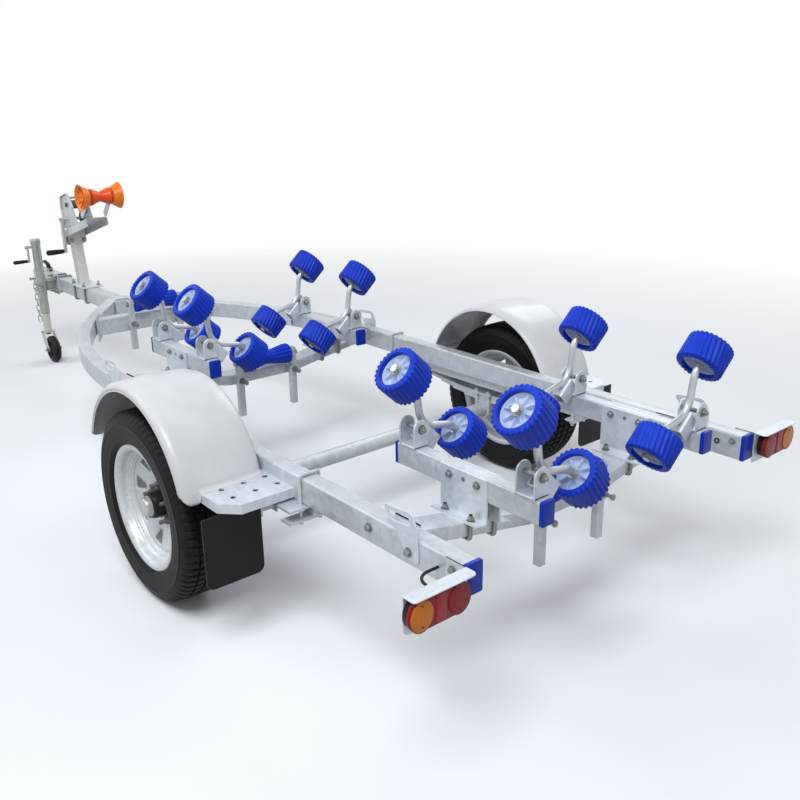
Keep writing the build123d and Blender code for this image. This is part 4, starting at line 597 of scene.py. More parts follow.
# crossmembers, each with sleeves for the keel roller's posts
cross = {
    "frontRear": 1600.0,
    "frontDepth": 50.0,
    "plate": (120.0, 6.0),
    "depth": 80.0,
    "height": 40.0,
    "flatHalf": 140.0,
    "corner": 6.0,
    "rows": {"front": (635.0, 402.0, 66.0), "rear": (-881.0, 382.0, 72.0)},  # rear face, flat's top, rise
    "sleeve": (33.6, 25.6, 34.0),
    "postY": 119.0,
}
crossEndY = innerY - cross["plate"][1]
postShift = cross["sleeve"][0] / 2


def crossTop(row, y):
    # top of a dropped crossmember: flat in the middle, then straight up to the rails
    flat, rise = cross["rows"][row][1:]
    return flat + rise * max(0.0, abs(y) - cross["flatHalf"]) / (crossEndY - cross["flatHalf"])


def squareTube(outside, inside, corner, foot, height):
    # an upright square tube, open at both ends
    hole = rectangle(inside, inside, corner)
    return slab(rectangle(outside, outside, 3.5), foot, ahead, left, height, 0.8, hole)


def sleeves(rear, z):
    # square collars on the crossmember's rear face, with the bolt that locks each post
    outside, inside, height = cross["sleeve"]
    x, face = rear - postShift, rear - postShift - outside / 2
    steel, bolts = [], []
    for y in (cross["postY"], -cross["postY"]):
        steel.append(squareTube(outside, inside, 1.5, (x, y, z - height / 2), height))
        bolts.append(boltHead((face - 0.2, y, z), -ahead, 18, 9))
        bolts.append(rod((face - 11, y, z), (face - 36, y, z), 5.6))
        bolts.append(hexHead((face - 26.0, y, z), -ahead, 19, 9))
    return steel, bolts


def makeCrossmembers():
    # the front one is straight and ends on plates turned to the curved rails
    middleX = cross["frontRear"] + cross["frontDepth"] / 2
    innerRadius = rail["bendRadius"] - rail["width"] / 2
    turn = math.asin((middleX - rail["bendStart"]) / innerRadius)
    out = np.array([math.sin(turn), math.cos(turn), 0])
    length, thickness = cross["plate"]
    reach = math.sqrt(innerRadius**2 - (length / 2) ** 2) - 0.3
    centre = np.array([rail["bendStart"], railY - rail["bendRadius"], railZ])
    back = centre + out * (reach - thickness)
    mirror = np.array([1, -1, 1])
    ends = {"startOn": ((back + out) * mirror, out * mirror), "endOn": (back + out, out)}
    section = rectangle(cross["frontDepth"], rail["height"] - 1, cross["corner"])
    beamShape = carried([(middleX, -200, railZ), (middleX, 200, railZ)], section, ahead, **ends)
    outline = rectangle(length, rail["height"] - 0.6, 4)
    plates = bothSides([slab(outline, back, upright, (-out[1], out[0], 0), thickness)])
    steel, bolts = sleeves(cross["frontRear"], railZ)
    makePiece("crossmember_front_tube", [beamShape, *plates, *steel], "tube", node="crossmember_front")
    steel = []
    section = rectangle(cross["depth"], cross["height"], cross["corner"])
    for rear, flat, rise in cross["rows"].values():
        x, z = rear + cross["depth"] / 2, flat - cross["height"] / 2
        half = [(x, cross["flatHalf"], z), (x, crossEndY + 1, z + rise)]
        route = [(x, -y, level) for x, y, level in half[::-1]] + half
        steel.append(carried(route, section, ahead))
        bottom = max(flat + rise - cross["height"] - 4, rail["top"] - rail["height"])
        box = blockShape((x - 44, crossEndY, bottom), (x + 44, innerY - 0.1, rail["top"] - 0.5), 1.5)
        rowSteel, rowBolts = sleeves(rear, z)
        steel += bothSides([box]) + rowSteel
        bolts += rowBolts
    makePiece("roller_crossmember_tubes", steel, "tube", node="roller_crossmembers")
    makePiece("crossmember_bolts", bolts, "bolt")


# keel rollers between their posts
keel = {
    "post": 25.0,
    "abovePin": 22.0,
    "belowPin": 210.0,
    "length": 200.0,
    "endRadius": 39.0,
    "waistRadius": 26.0,
    "pin": 8.0,
    "ribs": 14,
    "ribDepth": 1.8,
    # name: carrying crossmember's rear face, pin height
    "rollers": {"front": (1600.0, 522.0), "mid": (635.0, 449.0), "rear": (-881.0, 436.0)},
}


def keelSpool(x, z):
    # radius falls from both ends to the waist, with ribs along the cones:
    # r = waist + (end - waist) * (|y| / flat)^1.15 + depth * cos(ribs * angle), faded out at the waist
    half = keel["length"] / 2
    lip = [half, half, half - 2, half - 20]
    y = np.concatenate([np.negative(lip), np.linspace(22 - half, half - 22, 25), lip[::-1]])
    swell = np.clip(np.abs(y) / (half - 18), 0, 1) ** 1.15
    radius = keel["waistRadius"] + (keel["endRadius"] - keel["waistRadius"]) * swell
    radius[[1, -2]] -= 2.0
    radius[[0, -1]] = keel["pin"] + 4
    angle = ringAngles(112)
    fade = (np.clip((np.abs(y) - 12) / 30, 0, 1) * (np.abs(y) < half - 1))[:, None]
    r = radius[:, None] + keel["ribDepth"] * fade * (np.clip(np.cos(keel["ribs"] * angle) * 2.2, -1, 1) - 1)
    inner = rod((x, 1 - half, z), (x, half - 1, z), keel["pin"] + 4.2, 24)
    return [gridShape(around((x, 0, z), left, ahead, upright, y[:, None], r, angle)), inner]


def makeKeelRollers():
    # two posts, their bolts and a pin for each spool
    posts, pins = [], []
    wide, away = keel["post"], cross["postY"]
    for name, (rear, z) in keel["rollers"].items():
        x = rear - postShift
        for way in (1, -1):
            foot = (x, way * away, z - keel["belowPin"])
            posts.append(squareTube(wide, wide - 5, 2, foot, keel["abovePin"] + keel["belowPin"]))
            pins.append(boltHead((x, way * (away + wide / 2), z), left * way, 18, 7))
        pins.append(rod((x, -away, z), (x, away, z), keel["pin"]))
        node = "keel_roller_" + name
        makePiece(node + "_spool", keelSpool(x, z), "roller blue", node, node, smooth=45)
    makePiece("keel_posts", posts, "tube", node="keel_roller_posts")
    makePiece("keel_pins", pins, "bolt")


makeRails()
makeCrossmembers()
makeKeelRollers()
print("frame tubes and keel rollers made")

# roller beams on their brackets, with a fork for each rocking arm
beam = {
    "y": 320.0,
    "width": 40.0,
    "height": 60.0,
    "top": 540.0,
    "corner": 5.0,
    "bracket": (160.0, 5.0, 34.0),  # length, thickness, foot
    "pivotZ": 590.0,
    "earGap": 50.0,
    "earWidth": 50.0,
    "ear": 5.0,
    # row: middle, length, the arms' half distance
    "rows": {"front": (655.0, 460.0, 175.0), "rear": (-835.0, 500.0, 203.0)},
}


def bentPlate(profile, origin, length, thickness, bend):
    # a strip carried along X whose section is a bent line in the plane of y and z, drawn on its inner face
    line = rounded(profile, bend, 5)
    step = unit(np.gradient(line, axis=0))
    outer = line + np.stack([-step[:, 1], step[:, 0]], 1) * thickness
    return slab(np.vstack([line, outer[::-1]]), origin, left, upright, length, 0.6)


def bracketShapes(row, x, out):
    # a bent strip on one side of the beam, bolted to it and held on the crossmember by a U-bolt
    length, plate, foot = beam["bracket"]
    legY = beam["y"] + out * beam["width"] / 2
    faceY = legY + out * plate
    footY = faceY + out * foot
    profile = [(0, beam["top"] - 1.5), (0, crossTop(row, legY)), (out * (plate + foot), crossTop(row, footY))]
    strip = bentPlate(profile[::out], (x - length / 2, legY, 0), length, plate, 4.0)
    z, head = beam["top"] - 22, left * out
    pinAt = np.array([x, faceY, z])
    bolts = [boltHead((x - 48, faceY, z), head, 15, 7), rod(pinAt - head * 2, pinAt + head * 0.4, 6, 20, 0.2)]
    bolts.append(boltHead((x + 48, faceY, z), head, 15, 7))
    boltY = (faceY + footY) / 2
    top = crossTop(row, boltY)
    low, half = top - cross["height"] - 6.2, cross["depth"] / 2 + 5.3
    bolts.append(uBolt((x, boltY, 0), ahead, upright, half, low, top + plate + 16, top + plate))
    return strip, bolts


def forkShapes(x):
    # a folded fork: base and two ears with round heads
    half, ear, y, top = beam["earGap"] / 2, beam["ear"], beam["y"], beam["top"]
    wide, deep = half + ear, beam["earWidth"] / 2
    plates = [blockShape((x - wide, y - deep, top - 0.2), (x + wide, y + deep, top + 5), 1.2)]
    head = circle(25, 32)[:17] + [0, beam["pivotZ"] - top]
    outline = np.vstack([[(25, 0)], head, [(-25, 0)]])
    bolts = []
    for end in (1, -1):
        plates.append(slab(outline, (x + half if end > 0 else x - wide, y, top), left, upright, ear))
        bolts.append(boltHead((x + end * wide, y, beam["pivotZ"]), ahead * end, 18, 7, 6 if end < 0 else 0))
    bolts.append(rod((x - half, y, beam["pivotZ"]), (x + half, y, beam["pivotZ"]), 6))
    return plates, bolts


def makeBeams():
    # each row's beam with two brackets and two forks, mirrored
    tubes, plates, bolts = [], [], []
    z = beam["top"] - beam["height"] / 2
    section = rectangle(beam["width"], beam["height"], beam["corner"])
    for row, (middle, length, armHalf) in beam["rows"].items():
        ends = [(middle + end * length / 2, beam["y"], z) for end in (-1, 1)]
        tubes.append(carried(ends, section, left))
        for out in (1, -1):
            strip, holding = bracketShapes(row, cross["rows"][row][0] + cross["depth"] / 2, out)
            plates.append(strip)
            bolts += holding
        for fore in (1, -1):
            forks, pins = forkShapes(middle + fore * armHalf)
            plates += forks
            bolts += pins
    makePiece("roller_beam_tubes", bothSides(tubes), "tube", node="roller_beams")
    makePiece("roller_beam_brackets", bothSides(plates), "plate")
    makePiece("roller_beam_bolts", bothSides(bolts), "bolt")


# rocking arms and their rollers
arm = {
    "tilt": 42.0,
    "tube": (46.0, 36.0, 4.0),
    "above": 42.0,
    "below": 22.0,
    "bar": 10.0,
    "bends": [52.0, 62.0, 52.0],
    "elbow": (-24.0, -4.0),
    "outer": (33.0, 143.0),
    "inner": (-168.0, -61.0),
    "hubHalf": 30.0,
}
roller = {
    "radius": 64.0,
    "width": 80.0,
    "ribs": 28,
    "ribDepth": 1.5,
    "lean": 0.22,
    "scallop": 1.6,
    "rim": 54.0,
    "hubRadius": 46.0,
    "webs": 8,
}
tilt = math.radians(arm["tilt"])
axisOut = np.array([0, math.cos(tilt), math.sin(tilt)])
axisUp = np.array([0, -math.sin(tilt), math.cos(tilt)])


def armPoint(x, place):
    # from its place outboard of and above the pivot
    return np.array([x, beam["y"] + place[0], beam["pivotZ"] + place[1]])


def armShapes(x):
    # an open square tube that rocks on the bolt, a bent bar welded along it, and what holds the rollers
    width, height, wall = arm["tube"]
    foot = armPoint(x, (0, 0)) - axisOut * arm["below"]
    hole = rectangle(width - 2 * wall, height - 2 * wall, 2)
    tube = slab(rectangle(width, height, 5), foot, -axisUp, ahead, arm["above"] + arm["below"], 0.6, hole)
    inner, outer, half = armPoint(x, arm["inner"]), armPoint(x, arm["outer"]), arm["hubHalf"]
    corners = [inner - axisOut * (half + 13), inner + axisOut * (half + 24), armPoint(x, arm["elbow"])]
    corners += [outer - axisOut * (half + 24), outer + axisOut * (half + 13)]
    bar = piped(rounded(corners, arm["bends"], 12), arm["bar"], 18)
    pins = []
    turn = np.linspace(0, 6.2, 14)[:, None]
    for centre, way in ((inner, -1), (outer, 1)):
        for end in (1, -1):
            base = centre + axisOut * end * (half + 1)
            pins.append(rod(base, base + axisOut * end * 2.6, 15, 24, 0.6))
        # split pin through the bar's free end
        pinAt = centre + axisOut * way * (half + 7.5)
        pins.append(rod(pinAt - ahead * 13, pinAt + ahead * 13, 1.7, 8, 0.4))
        pins.append(piped(pinAt + ahead * 15 + 4 * (np.cos(turn) * ahead + np.sin(turn) * axisUp), 1.5, 8))
    return tube, bar, pins


def bandShape(centre):
    # the rubber band: r = radius + depth * wave(ribs * (angle + lean * place along)), its rims scalloped
    # by the same wave, folded in to a lip round the hub
    half, full, hub = roller["width"] / 2, roller["radius"], roller["hubRadius"]
    angle = ringAngles(roller["ribs"] * 10)
    # columns: place along the axis, radius, share of the ribs, share of the scallops
    rows = [
        (-half + 9, hub - 0.6, 0, 0),
        (-half, hub + 0.8, 0, 0),
        (-half, roller["rim"] + 1, 0, 0.3),
        (-half + 0.8, full - 5, 0.5, 1),
        (-half + 3.2, full - 2.2, 1, 1),
        (-half + 8, full - roller["ribDepth"], 1, 0.6),
    ]
    tread = [(a, full - roller["ribDepth"], 1, 0) for a in np.linspace(-half + 14, half - 14, 7)]
    rows = rows + tread + [(-a, r, s, c) for a, r, s, c in rows[::-1]]
    place, radius, share, edge = np.array(rows).T[:, :, None]
    wave = np.cos(roller["ribs"] * (angle + roller["lean"] * place / half * 0.6))
    wave = np.clip(wave * 1.7 + 0.25, -1, 1)
    along = place + np.sign(place) * roller["scallop"] * edge * (wave - 1) * 0.5
    r = radius + roller["ribDepth"] * share * wave
    return gridShape(around(centre, axisOut, ahead, axisUp, along, r, angle), closeU=True)


def hubShape(centre):
    # a dished disc each side with radial webs and a boss round the bar:
    # depth(r, angle) = recess, eased up to the rim and the boss, raised on the webs
    radius = np.array([10.2, 15.5, 17.5, 19.5, 24, 29, 34, 39, 42.5, 44.5, 46.2, 46.2])[:, None]
    angle = ringAngles(192)
    dish = np.interp(radius, [10, 16, 18.5, 24, 40, 44.5, 46.3], [0, 0, -11, -15, -13, -3, -1.5])
    web = np.clip(np.cos(roller["webs"] * angle) * 7 - 5.2, 0, 1)
    web = web * np.interp(radius, [10, 17, 19, 41, 44.5, 47], [0, 0, 1, 1, 0, 0])
    level = dish * (1 - web) + web * np.interp(radius, [17, 44], [-1.5, -4.0])
    level[[0, -1]] = [[0], [-16]]
    height = arm["hubHalf"] + level
    front, back = (around(centre, axisOut, ahead, axisUp, end * height, radius, angle) for end in (1, -1))
    return gridShape(np.vstack([front, back[::-1]]), closeU=True)


def makeArms():
    # four arms a side, each with an outer and an inner roller
    for row, (middle, _, armHalf) in beam["rows"].items():
        for fore, sign in (("fore", 1), ("aft", -1)):
            x = middle + sign * armHalf
            tube, bar, pins = armShapes(x)
            for side, way in sides.items():
                body = f"rocker_{row}_{fore}_{side}"
                makePiece(body + "_tube", tube, "plate", body, f"rocker_arm_{row}_{fore}_{side}", way=way)
                makePiece(body + "_bar", bar, "bar", body, way=way)
                makePiece(body + "_pins", pins, "bolt", body, way=way)
                for which in ("outer", "inner"):
                    node = f"hull_roller_{row}_{fore}_{which}_{side}"
                    centre = armPoint(x, arm[which])
                    makePiece(node + "_band", bandShape(centre), "roller blue", node, node, 40, way=way)
                    makePiece(node + "_hub", hubShape(centre), "roller hub", node, smooth=40, way=way)


makeBeams()
makeArms()
print("roller beams, arms and rollers made")

# road wheels
tyre = {
    "radius": 287.5,
    "grooves": [(-45.0, 3.4), (-16.0, 3.8), (16.0, 3.8), (45.0, 3.4)],  # place across, half width
    "grooveDepth": 6.5,
    "sipes": 72,
    "sipeDepth": 4.5,
    # half of the section from the bead up: place across, radius
    "half": [
        (66, 189.4), (75, 189.8), (79.0, 193.0), (82.2, 198), (84.2, 201.4), (85.4, 202), (85.6, 205),
        (85.5, 207.5), (87.4, 217), (88.6, 228), (88.9, 238), (88.6, 246), (89.3, 247), (89.3, 250),
        (88.0, 251.2), (86.4, 259), (83.4, 267), (79.0, 274.4), (73.6, 279.6), (67.6, 283.2), (60.5, 285.2),
    ],
}
wheel = {
    "middle": np.array([0.0, 735.0, 287.5]),
    "windows": 8,
    "windowTurn": 34.0,
    "studs": 5,
    "studTurn": 3.0,
    "studCircle": 57.15,
    "hubEnd": 54.0,
    "capEnd": 73.0,
}


def tyreShape():
    # r = section(place) - groove depth in the rings - sipe depth where cos(sipes*angle + skew) is high
    low = np.array(tyre["half"], float)
    edges = [g + s * w for g, half in tyre["grooves"] for s in (-1, 1) for w in (half, half + 0.5)]
    tread = np.unique(np.concatenate([np.linspace(-54, 54, 19), edges, np.arange(-52, 53, 8.0)]))
    place = np.concatenate([-low[:, 0], tread, low[::-1, 0]])[:, None]
    crown = tyre["radius"] - 1.6 * (np.abs(tread) / 60.0) ** 2.2
    radius = np.concatenate([low[:, 1], crown, low[::-1, 1]])[:, None]
    angle = ringAngles(tyre["sipes"] * 9)
    groove = sum((np.abs(place - g) <= w + 0.01).astype(float) for g, w in tyre["grooves"])
    away = np.abs(place)
    shoulder = np.clip((away - 20) / 2, 0, 1) * np.clip((87 - away) / 12, 0, 1) * (radius > 262)
    share = np.maximum(shoulder, np.clip((12 - away) / 2, 0, 1) * 0.8)
    sipe = np.clip((np.cos(tyre["sipes"] * angle + place / 42.0) - 0.42) * 6, 0, 1)
    r = radius - groove * tyre["grooveDepth"] - (1 - groove) * share * sipe * tyre["sipeDepth"]
    return gridShape(around(wheel["middle"], left, ahead, upright, place, r, angle), closeU=True)


def rimShape():
    # the rolled section turned round the wheel's axis: outer side towards the tyre, then the inner side
    outside = [(76.4, 187.4), (75.6, 189), (73.4, 188.8), (72.0, 184), (71.6, 175), (69.4, 171.2)]
    outside += [(65, 170.2), (52, 170.0), (47, 168.4), (40.6, 154.4), (37.6, 152)]
    inside = [(77.2, 185.4), (76.4, 179.4), (74.6, 175.0), (71.4, 171.4), (68, 168.4), (64, 167.0)]
    inside += [(52, 166.0)]
    inside += [(47.6, 163.4), (45.6, 160.4), (43.0, 159.6), (40.6, 158.4), (38.4, 154.0), (36.0, 150.2)]
    inside += [(30, 148.2)]
    line = outside + [(-y, r) for y, r in outside[::-1]] + [(-y, r) for y, r in inside] + inside[::-1]
    return lathe(line, wheel["middle"], left, 128)


def discShape():
    # a pressed disc in sectors; in each the columns bend round a window that narrows towards the hub
    radius = [149.4, 149.0, 147.6, 144.5, 140.6, 137, 134.6, 128, 118, 108, 100, 97.6, 92, 84, 76, 70, 60, 41]
    radius = np.array(radius)[:, None]
    levels = {41: 10, 68: 10, 76: 12, 90: 16.4, 137: 29.0, 143: 31.4, 148: 30.2, 149.4: 26.0}
    level = np.interp(radius, list(levels), list(levels.values()))
    sector = math.pi / wheel["windows"]
    half = np.radians(np.interp(radius, [98, 136], [4.4, 8.8]))
    share, between = np.linspace(0, 1, 6)[:-1], np.linspace(-1, 1, 9)[:-1]
    spokes = [-sector + share * (sector - half), between * half, half + share * (sector - half)]
    columns = np.hstack(spokes)
    pressed = np.zeros_like(columns)
    pressed[5:12, [5, 13]] = -3.0
    pressed[[5, 11], 5:14] = -2.4
    turn = ringAngles(wheel["windows"]) + math.radians(wheel["windowTurn"])
    angle = (turn[None, :, None] + columns[:, None, :]).reshape(len(radius), -1)
    level = level + np.tile(pressed, (1, wheel["windows"]))
    disc = gridShape(around(wheel["middle"], left, upright, ahead, level, radius, angle))
    keep = np.ones((len(radius) - 1, wheel["windows"], columns.shape[1]), bool)
    keep[5:11, :, 5:13] = False
    return Shape(disc.points, [disc.groups[0][keep.reshape(-1)]])


def makeWheels():
    # turned hub and cap, and the studs in a circle: foot = middle + radius * (sin, cos)
    middle, hubEnd, capEnd = wheel["middle"], wheel["hubEnd"], wheel["capEnd"]
    hub = [(-56, 17.6), (-56, 36), (-50, 40), (-12, 42), (-6, 64), (4, 66), (6, 64), (8, 50), (10.2, 50)]
    hub += [(15, 46), (17, 40), (hubEnd - 5, 39), (hubEnd - 1, 36), (hubEnd, 32), (hubEnd, 0)]
    hub += [(46, 0), (46, 17.6)]
    cap = [(hubEnd - 4, 0), (hubEnd - 4, 30), (hubEnd + 1, 30.4), (hubEnd + 2, 28), (capEnd - 4, 27.4)]
    cap += [(capEnd - 1.4, 26.0), (capEnd - 0.4, 23.6), (capEnd, 14), (capEnd, 0)]
    studs, nuts = [], []
    for turn in ringAngles(wheel["studs"]) + math.radians(wheel["studTurn"]):
        foot = middle + wheel["studCircle"] * (math.sin(turn) * ahead + math.cos(turn) * upright)
        nuts.append(rod(foot + left * 9, foot + left * 12.4, 13.6, 24, 0.8))
        nuts.append(hexHead(foot + left * 12, left, 24, 13))
        studs.append(threadShape(foot, left, np.arange(24, 44, 0.9), 6.3, 0.5, [(44.4, 5), (44.4, 0.0)], 14))
    pieces = {  # shape, finish, the node it stands in for, smoothing
        "tyre_{}_tread": (tyreShape(), "tyre", "tyre_", 38),
        "wheel_{}_rim": (rimShape(), "wheel", "wheel_", 45),
        "wheel_{}_disc": (discShape(), "wheel", "", 50),
        "wheel_{}_hub": (lathe(hub, middle, left), "black steel", "", 40),
        "wheel_{}_cap": (lathe(cap, middle, left, closed=False), "zinc", "", 40),
        "wheel_{}_studs": (joined(studs + nuts), "stud", "", 32),
    }
    for side, way in sides.items():
        for name, (shape, finish, node, smooth) in pieces.items():
            node = node + side if node else ""
            piece = makePiece(name.format(side), shape, finish, "road_wheel_" + side, node, smooth, way=way)
            if "disc" in name:
                thicken(piece, 4.5)


# fenders over the wheels
fender = {
    "centreZ": 340.0,
    "crown": 322.0,
    "innerY": 582.0,
    "outerY": 825.0,
    "shoulder": 26.0,
    "lip": 22.0,
    "stepTop": 431.0,
    "footZ": 404.0,
    "flare": 14.0,
    "frontFoot": 424.0,
    "wall": 2.4,
}


def fenderShape():
    # radius over the width: straight lip, wide soft shoulder, domed crown, then the same outboard with a
    # bead; each lane runs from the rear foot over the wheel to the front foot
    crown, lip, centreZ = fender["crown"], fender["lip"], fender["centreZ"]
    inner, outer, s = fender["innerY"], fender["outerY"], fender["shoulder"]
    turn = np.radians(np.linspace(0, 90, 9))
    lane = [(inner, crown - lip)]
    lane += list(zip(inner + 62 * (1 - np.cos(turn)), crown - lip + 1.5 + (lip - 2.5) * np.sin(turn)))
    crownY = np.array([660, 680, 700, 720, 740, 760, 771, 776, 780.5, 785, 790])
    lane += list(zip(crownY, crown - 1 + 2.0 * np.sin(math.pi * (crownY - 644) / 154) ** 2))
    lane += list(zip(outer - s * (1 - np.sin(turn)), crown - 1 - (lip - 5) * (1 - np.cos(turn))))
    lane += [(outer + 0.4, crown - 19), (outer - 0.8, crown - 20.2), (outer - 1.6, crown - 22.4)]
    lane += [(outer - 0.4, crown - 24.6), (outer, crown - 26.6), (outer - 1.2, crown - 28)]
    y, radius = np.array(lane).T
    out = np.clip((y - 776.5) / 5.0, 0, 1)  # 0 over the step, 1 outboard of it
    halves = []
    for foot in (fender["footZ"], fender["frontFoot"]):
        corner = np.clip(y - 799, 0, 25.9)
        bottom = (1 - out) * fender["stepTop"] + out * (foot + 26 - np.sqrt(26.0**2 - corner**2))
        start = np.arcsin(np.clip((bottom + (1 - out) * 16 - centreZ) / radius, -1, 1))
        # the foot sweeps outwards onto the step: a quarter curve of the flare's size, only over the step
        t = np.linspace(0, 1, 7)[:-1, None] * math.pi / 2
        x = radius * np.cos(start) + (1 - np.sin(t)) * fender["flare"] * (1 - out)
        z = bottom + (radius * np.sin(start) + centreZ - bottom) * (1 - np.cos(t))
        sweep = np.stack([-x, np.broadcast_to(y, x.shape), z], 2)
        angle = start + (math.pi / 2 - start) * np.linspace(0, 1, 40)[:, None] ** 1.1
        arch = around((0, 0, centreZ), left, -ahead, upright, y, radius, angle)
        halves.append(np.vstack([sweep, arch]))
    rear, front = halves
    return gridShape(np.vstack([rear, front[::-1][1:] * [-1, 1, 1]]), closeV=False)


def makeFenders():
    # one thin shell a side; the left one stands in for the node
    for side, way in sides.items():
        node = "fenders" if side == "left" else ""
        piece = makePiece("fender_" + side, fenderShape(), "fender white", "frame", node, 50, way=way)
        thicken(piece, fender["wall"])


# lamps on their brackets, caps and tie-down loops
lamp = {
    "back": -1088.0,
    "sheet": 3.0,
    "innerY": 574.0,
    "outerY": 748.0,
    "middleY": 670.5,
    "middleZ": 428.5,
    "drop": 92.0,
    "depth": 37.0,  # top flange, rearwards over the lamp
    "length": 168.0,
    "height": 79.0,
    "bodyDepth": 19.0,
    "lensDepth": 9.0,
    "window": (30.5, 35.0),  # half sizes of the oval windows
    "windowsAt": 51.0,
    "reflector": (29.0, 68.0),
}


def slotLine(length, height):
    # a bar with round ends, anticlockwise
    return rectangle(length, height, height / 2 - 0.01, 14)


def makeLamps():
    # left side; the right is its mirror. Outlines lie in the plane of y and z and rise rearwards
    back, sheet, top, inner = lamp["back"], lamp["sheet"], rail["top"], lamp["innerY"]
    lampY, lampZ, flat = lamp["middleY"], lamp["middleZ"], (-left, upright)
    face, width = back - sheet, lamp["outerY"] - inner
    w, h, depth = width / 2, lamp["drop"] / 2, -lamp["depth"]
    plate = outlineOf([(w, -h), (w, h), (-w, h), (-w, -h)], [2, 2, 2, 16])
    flange = outlineOf([(depth, 0), (0, 0), (0, width), (depth, width)], [14, 2, 2, 9])
    bracket = [
        slab(plate, (back, inner + w, top - h), *flat, sheet, 0.5),
        slab(flange, (back, inner, top - sheet + 0.4), ahead, left, sheet, 0.5),
        blockShape((face, inner, top - 74), (back + 60, inner + sheet, top), 0.8),
    ]
    bolts = [boltHead((back + 37, inner + sheet, top - 22), left, 15, 7)]
    bolts.append(boltHead((back + 37, innerY, top - 22), -left, 14, 6, 6))
    long, high = lamp["length"], lamp["height"]
    body = slab(slotLine(long - 5, high - 5), (face, lampY, lampZ), *flat, lamp["bodyDepth"], 1.2)
    seatX = face - lamp["bodyDepth"]
    frontX = seatX - lamp["lensDepth"] + 2.4
    lens = [
        pillow(slotLine(long - 4, high - 4), (seatX, lampY, lampZ), *flat, lamp["lensDepth"] - 2, 5.0),
        pillow(slotLine(long, high), (seatX + 3, lampY, lampZ), *flat, 6, 2.0, 4),
    ]
    oval = circle(1, 56) * lamp["window"]
    ends = [lampY + side * lamp["windowsAt"] for side in (1, -1)]
    amber, stop = (pillow(oval, (frontX, y, lampZ), *flat, 2.6, 2.2, 6) for y in ends)
    rim, hole = drawnIn(oval, -2.2), drawnIn(oval, -0.5)
    rings = [slab(rim, (frontX + 0.6, y, lampZ), *flat, 2.0, 0.5, hole) for y in ends]
    reflector = pillow(rectangle(*lamp["reflector"], 3), (frontX, lampY, lampZ), *flat, 2.0, 1.0, 4)
    spots = [np.array([frontX, y, lampZ + z]) for y in ends for z in (-24, 24)]
    screws = [rod(spot - ahead * 1.5, spot - ahead * 3.2, 2.4, 14, 0.5) for spot in spots]
    makePiece("lamp_bracket_plates", bothSides(bracket), "plate", node="lamp_brackets")
    makePiece("lamp_bracket_bolts", bothSides(bolts), "bolt")
    makePiece("lamp_bodies", bothSides([body]), "black moulding", node="lamps")
    makePiece("lamp_lens_red", bothSides(lens), "red", node="lamp_lenses", smooth=50)
    makePiece("lamp_lens_amber", bothSides([amber]), "amber", smooth=50)
    makePiece("lamp_lens_stop", bothSides([stop] + rings), "red", smooth=50)
    makePiece("lamp_reflectors", bothSides([reflector]), "reflector")
    makePiece("lamp_screws", bothSides(screws), "black moulding")


def makeCaps():
    # a soft-edged cap over each open tube end; a negative way faces rearwards
    wide, high = beam["width"], beam["height"]
    beamEnds = [(middle, length / 2) for middle, length, _ in beam["rows"].values()]
    places = [(rail["rearEnd"] + 5, railY, railZ, rail["width"], rail["height"], -1)]
    places += [(m - half + 5, beam["y"], beam["top"] - high / 2, wide, high, -1) for m, half in beamEnds]
    places += [(m + half - 5, beam["y"], beam["top"] - high / 2, wide, high, 1) for m, half in beamEnds]
    shapes = [
        pillow(rectangle(w + 1.6, h + 1.6, 5), (x, y, z), left * way, upright, 10.4, 1.8, 4)
        for x, y, z, w, h, way in places
    ]
    makePiece("blue_caps", bothSides(shapes), "cap blue", node="end_caps")


loop = {
    "places": [-825.0, 770.0],
    "outline": [(8, 53), (-94, 61), (-115, 24), (-117, -56), (-84, -58), (-56, -20)],
    "radii": [8, 14, 12, 5, 9, 12],
    "slot": [(-10, 42), (-81, 49), (-97, 28), (-29, 21)],
    "slotRadii": [5, 7, 7, 7],
    "thickness": 4.0,
    "bolt": (-84.0, -38.0),
    "railBolt": -762.0,
}


def facingPair(outline, hole, count=96):
    # the same directions seen from the hole's middle, sampled on both lines, so that one faces the other
    middle = np.mean(hole, axis=0)
    angle = ringAngles(count)
    pair = []
    for line in (outline, hole):
        line = np.vstack([line, line[:1]])
        reach = np.concatenate([[0], np.cumsum(np.linalg.norm(np.diff(line, axis=0), axis=1))])
        t = np.linspace(0, reach[-1], 1500, endpoint=False)
        dense = np.stack([np.interp(t, reach, line[:, k]) for k in (0, 1)], 1) - middle
        way = np.arctan2(dense[:, 1], dense[:, 0]) % fullTurn
        order = np.argsort(way)
        radius = np.interp(angle, way[order], np.linalg.norm(dense, axis=1)[order], period=fullTurn)
        pair.append(middle + radius[:, None] * circle(1, count))
    return pair


def makeLoops():
    # a slotted plate at each place and its bolts, mirrored
    steel, bolts = [], []
    slotOutline = outlineOf(loop["slot"], loop["slotRadii"])
    outline, hole = facingPair(outlineOf(loop["outline"], loop["radii"]), slotOutline)
    faceY, top = rail["outerY"] + loop["thickness"], rail["top"]
    for place in loop["places"]:
        steel.append(slab(outline, (place, faceY, top), ahead, upright, loop["thickness"], 0.7, hole))
        bolts.append(boltHead((place + loop["bolt"][0], faceY, top + loop["bolt"][1]), left, 17, 8))
    bolts.append(boltHead((loop["railBolt"], rail["outerY"], top - 34), left, 17, 8))
    makePiece("tie_down_plates", bothSides(steel), "plate", node="tie_down_loops")
    makePiece("tie_down_bolts", bothSides(bolts), "bolt")


makeWheels()
makeFenders()
makeLamps()
makeCaps()
makeLoops()
print("wheels, fenders, lamps and loops made")

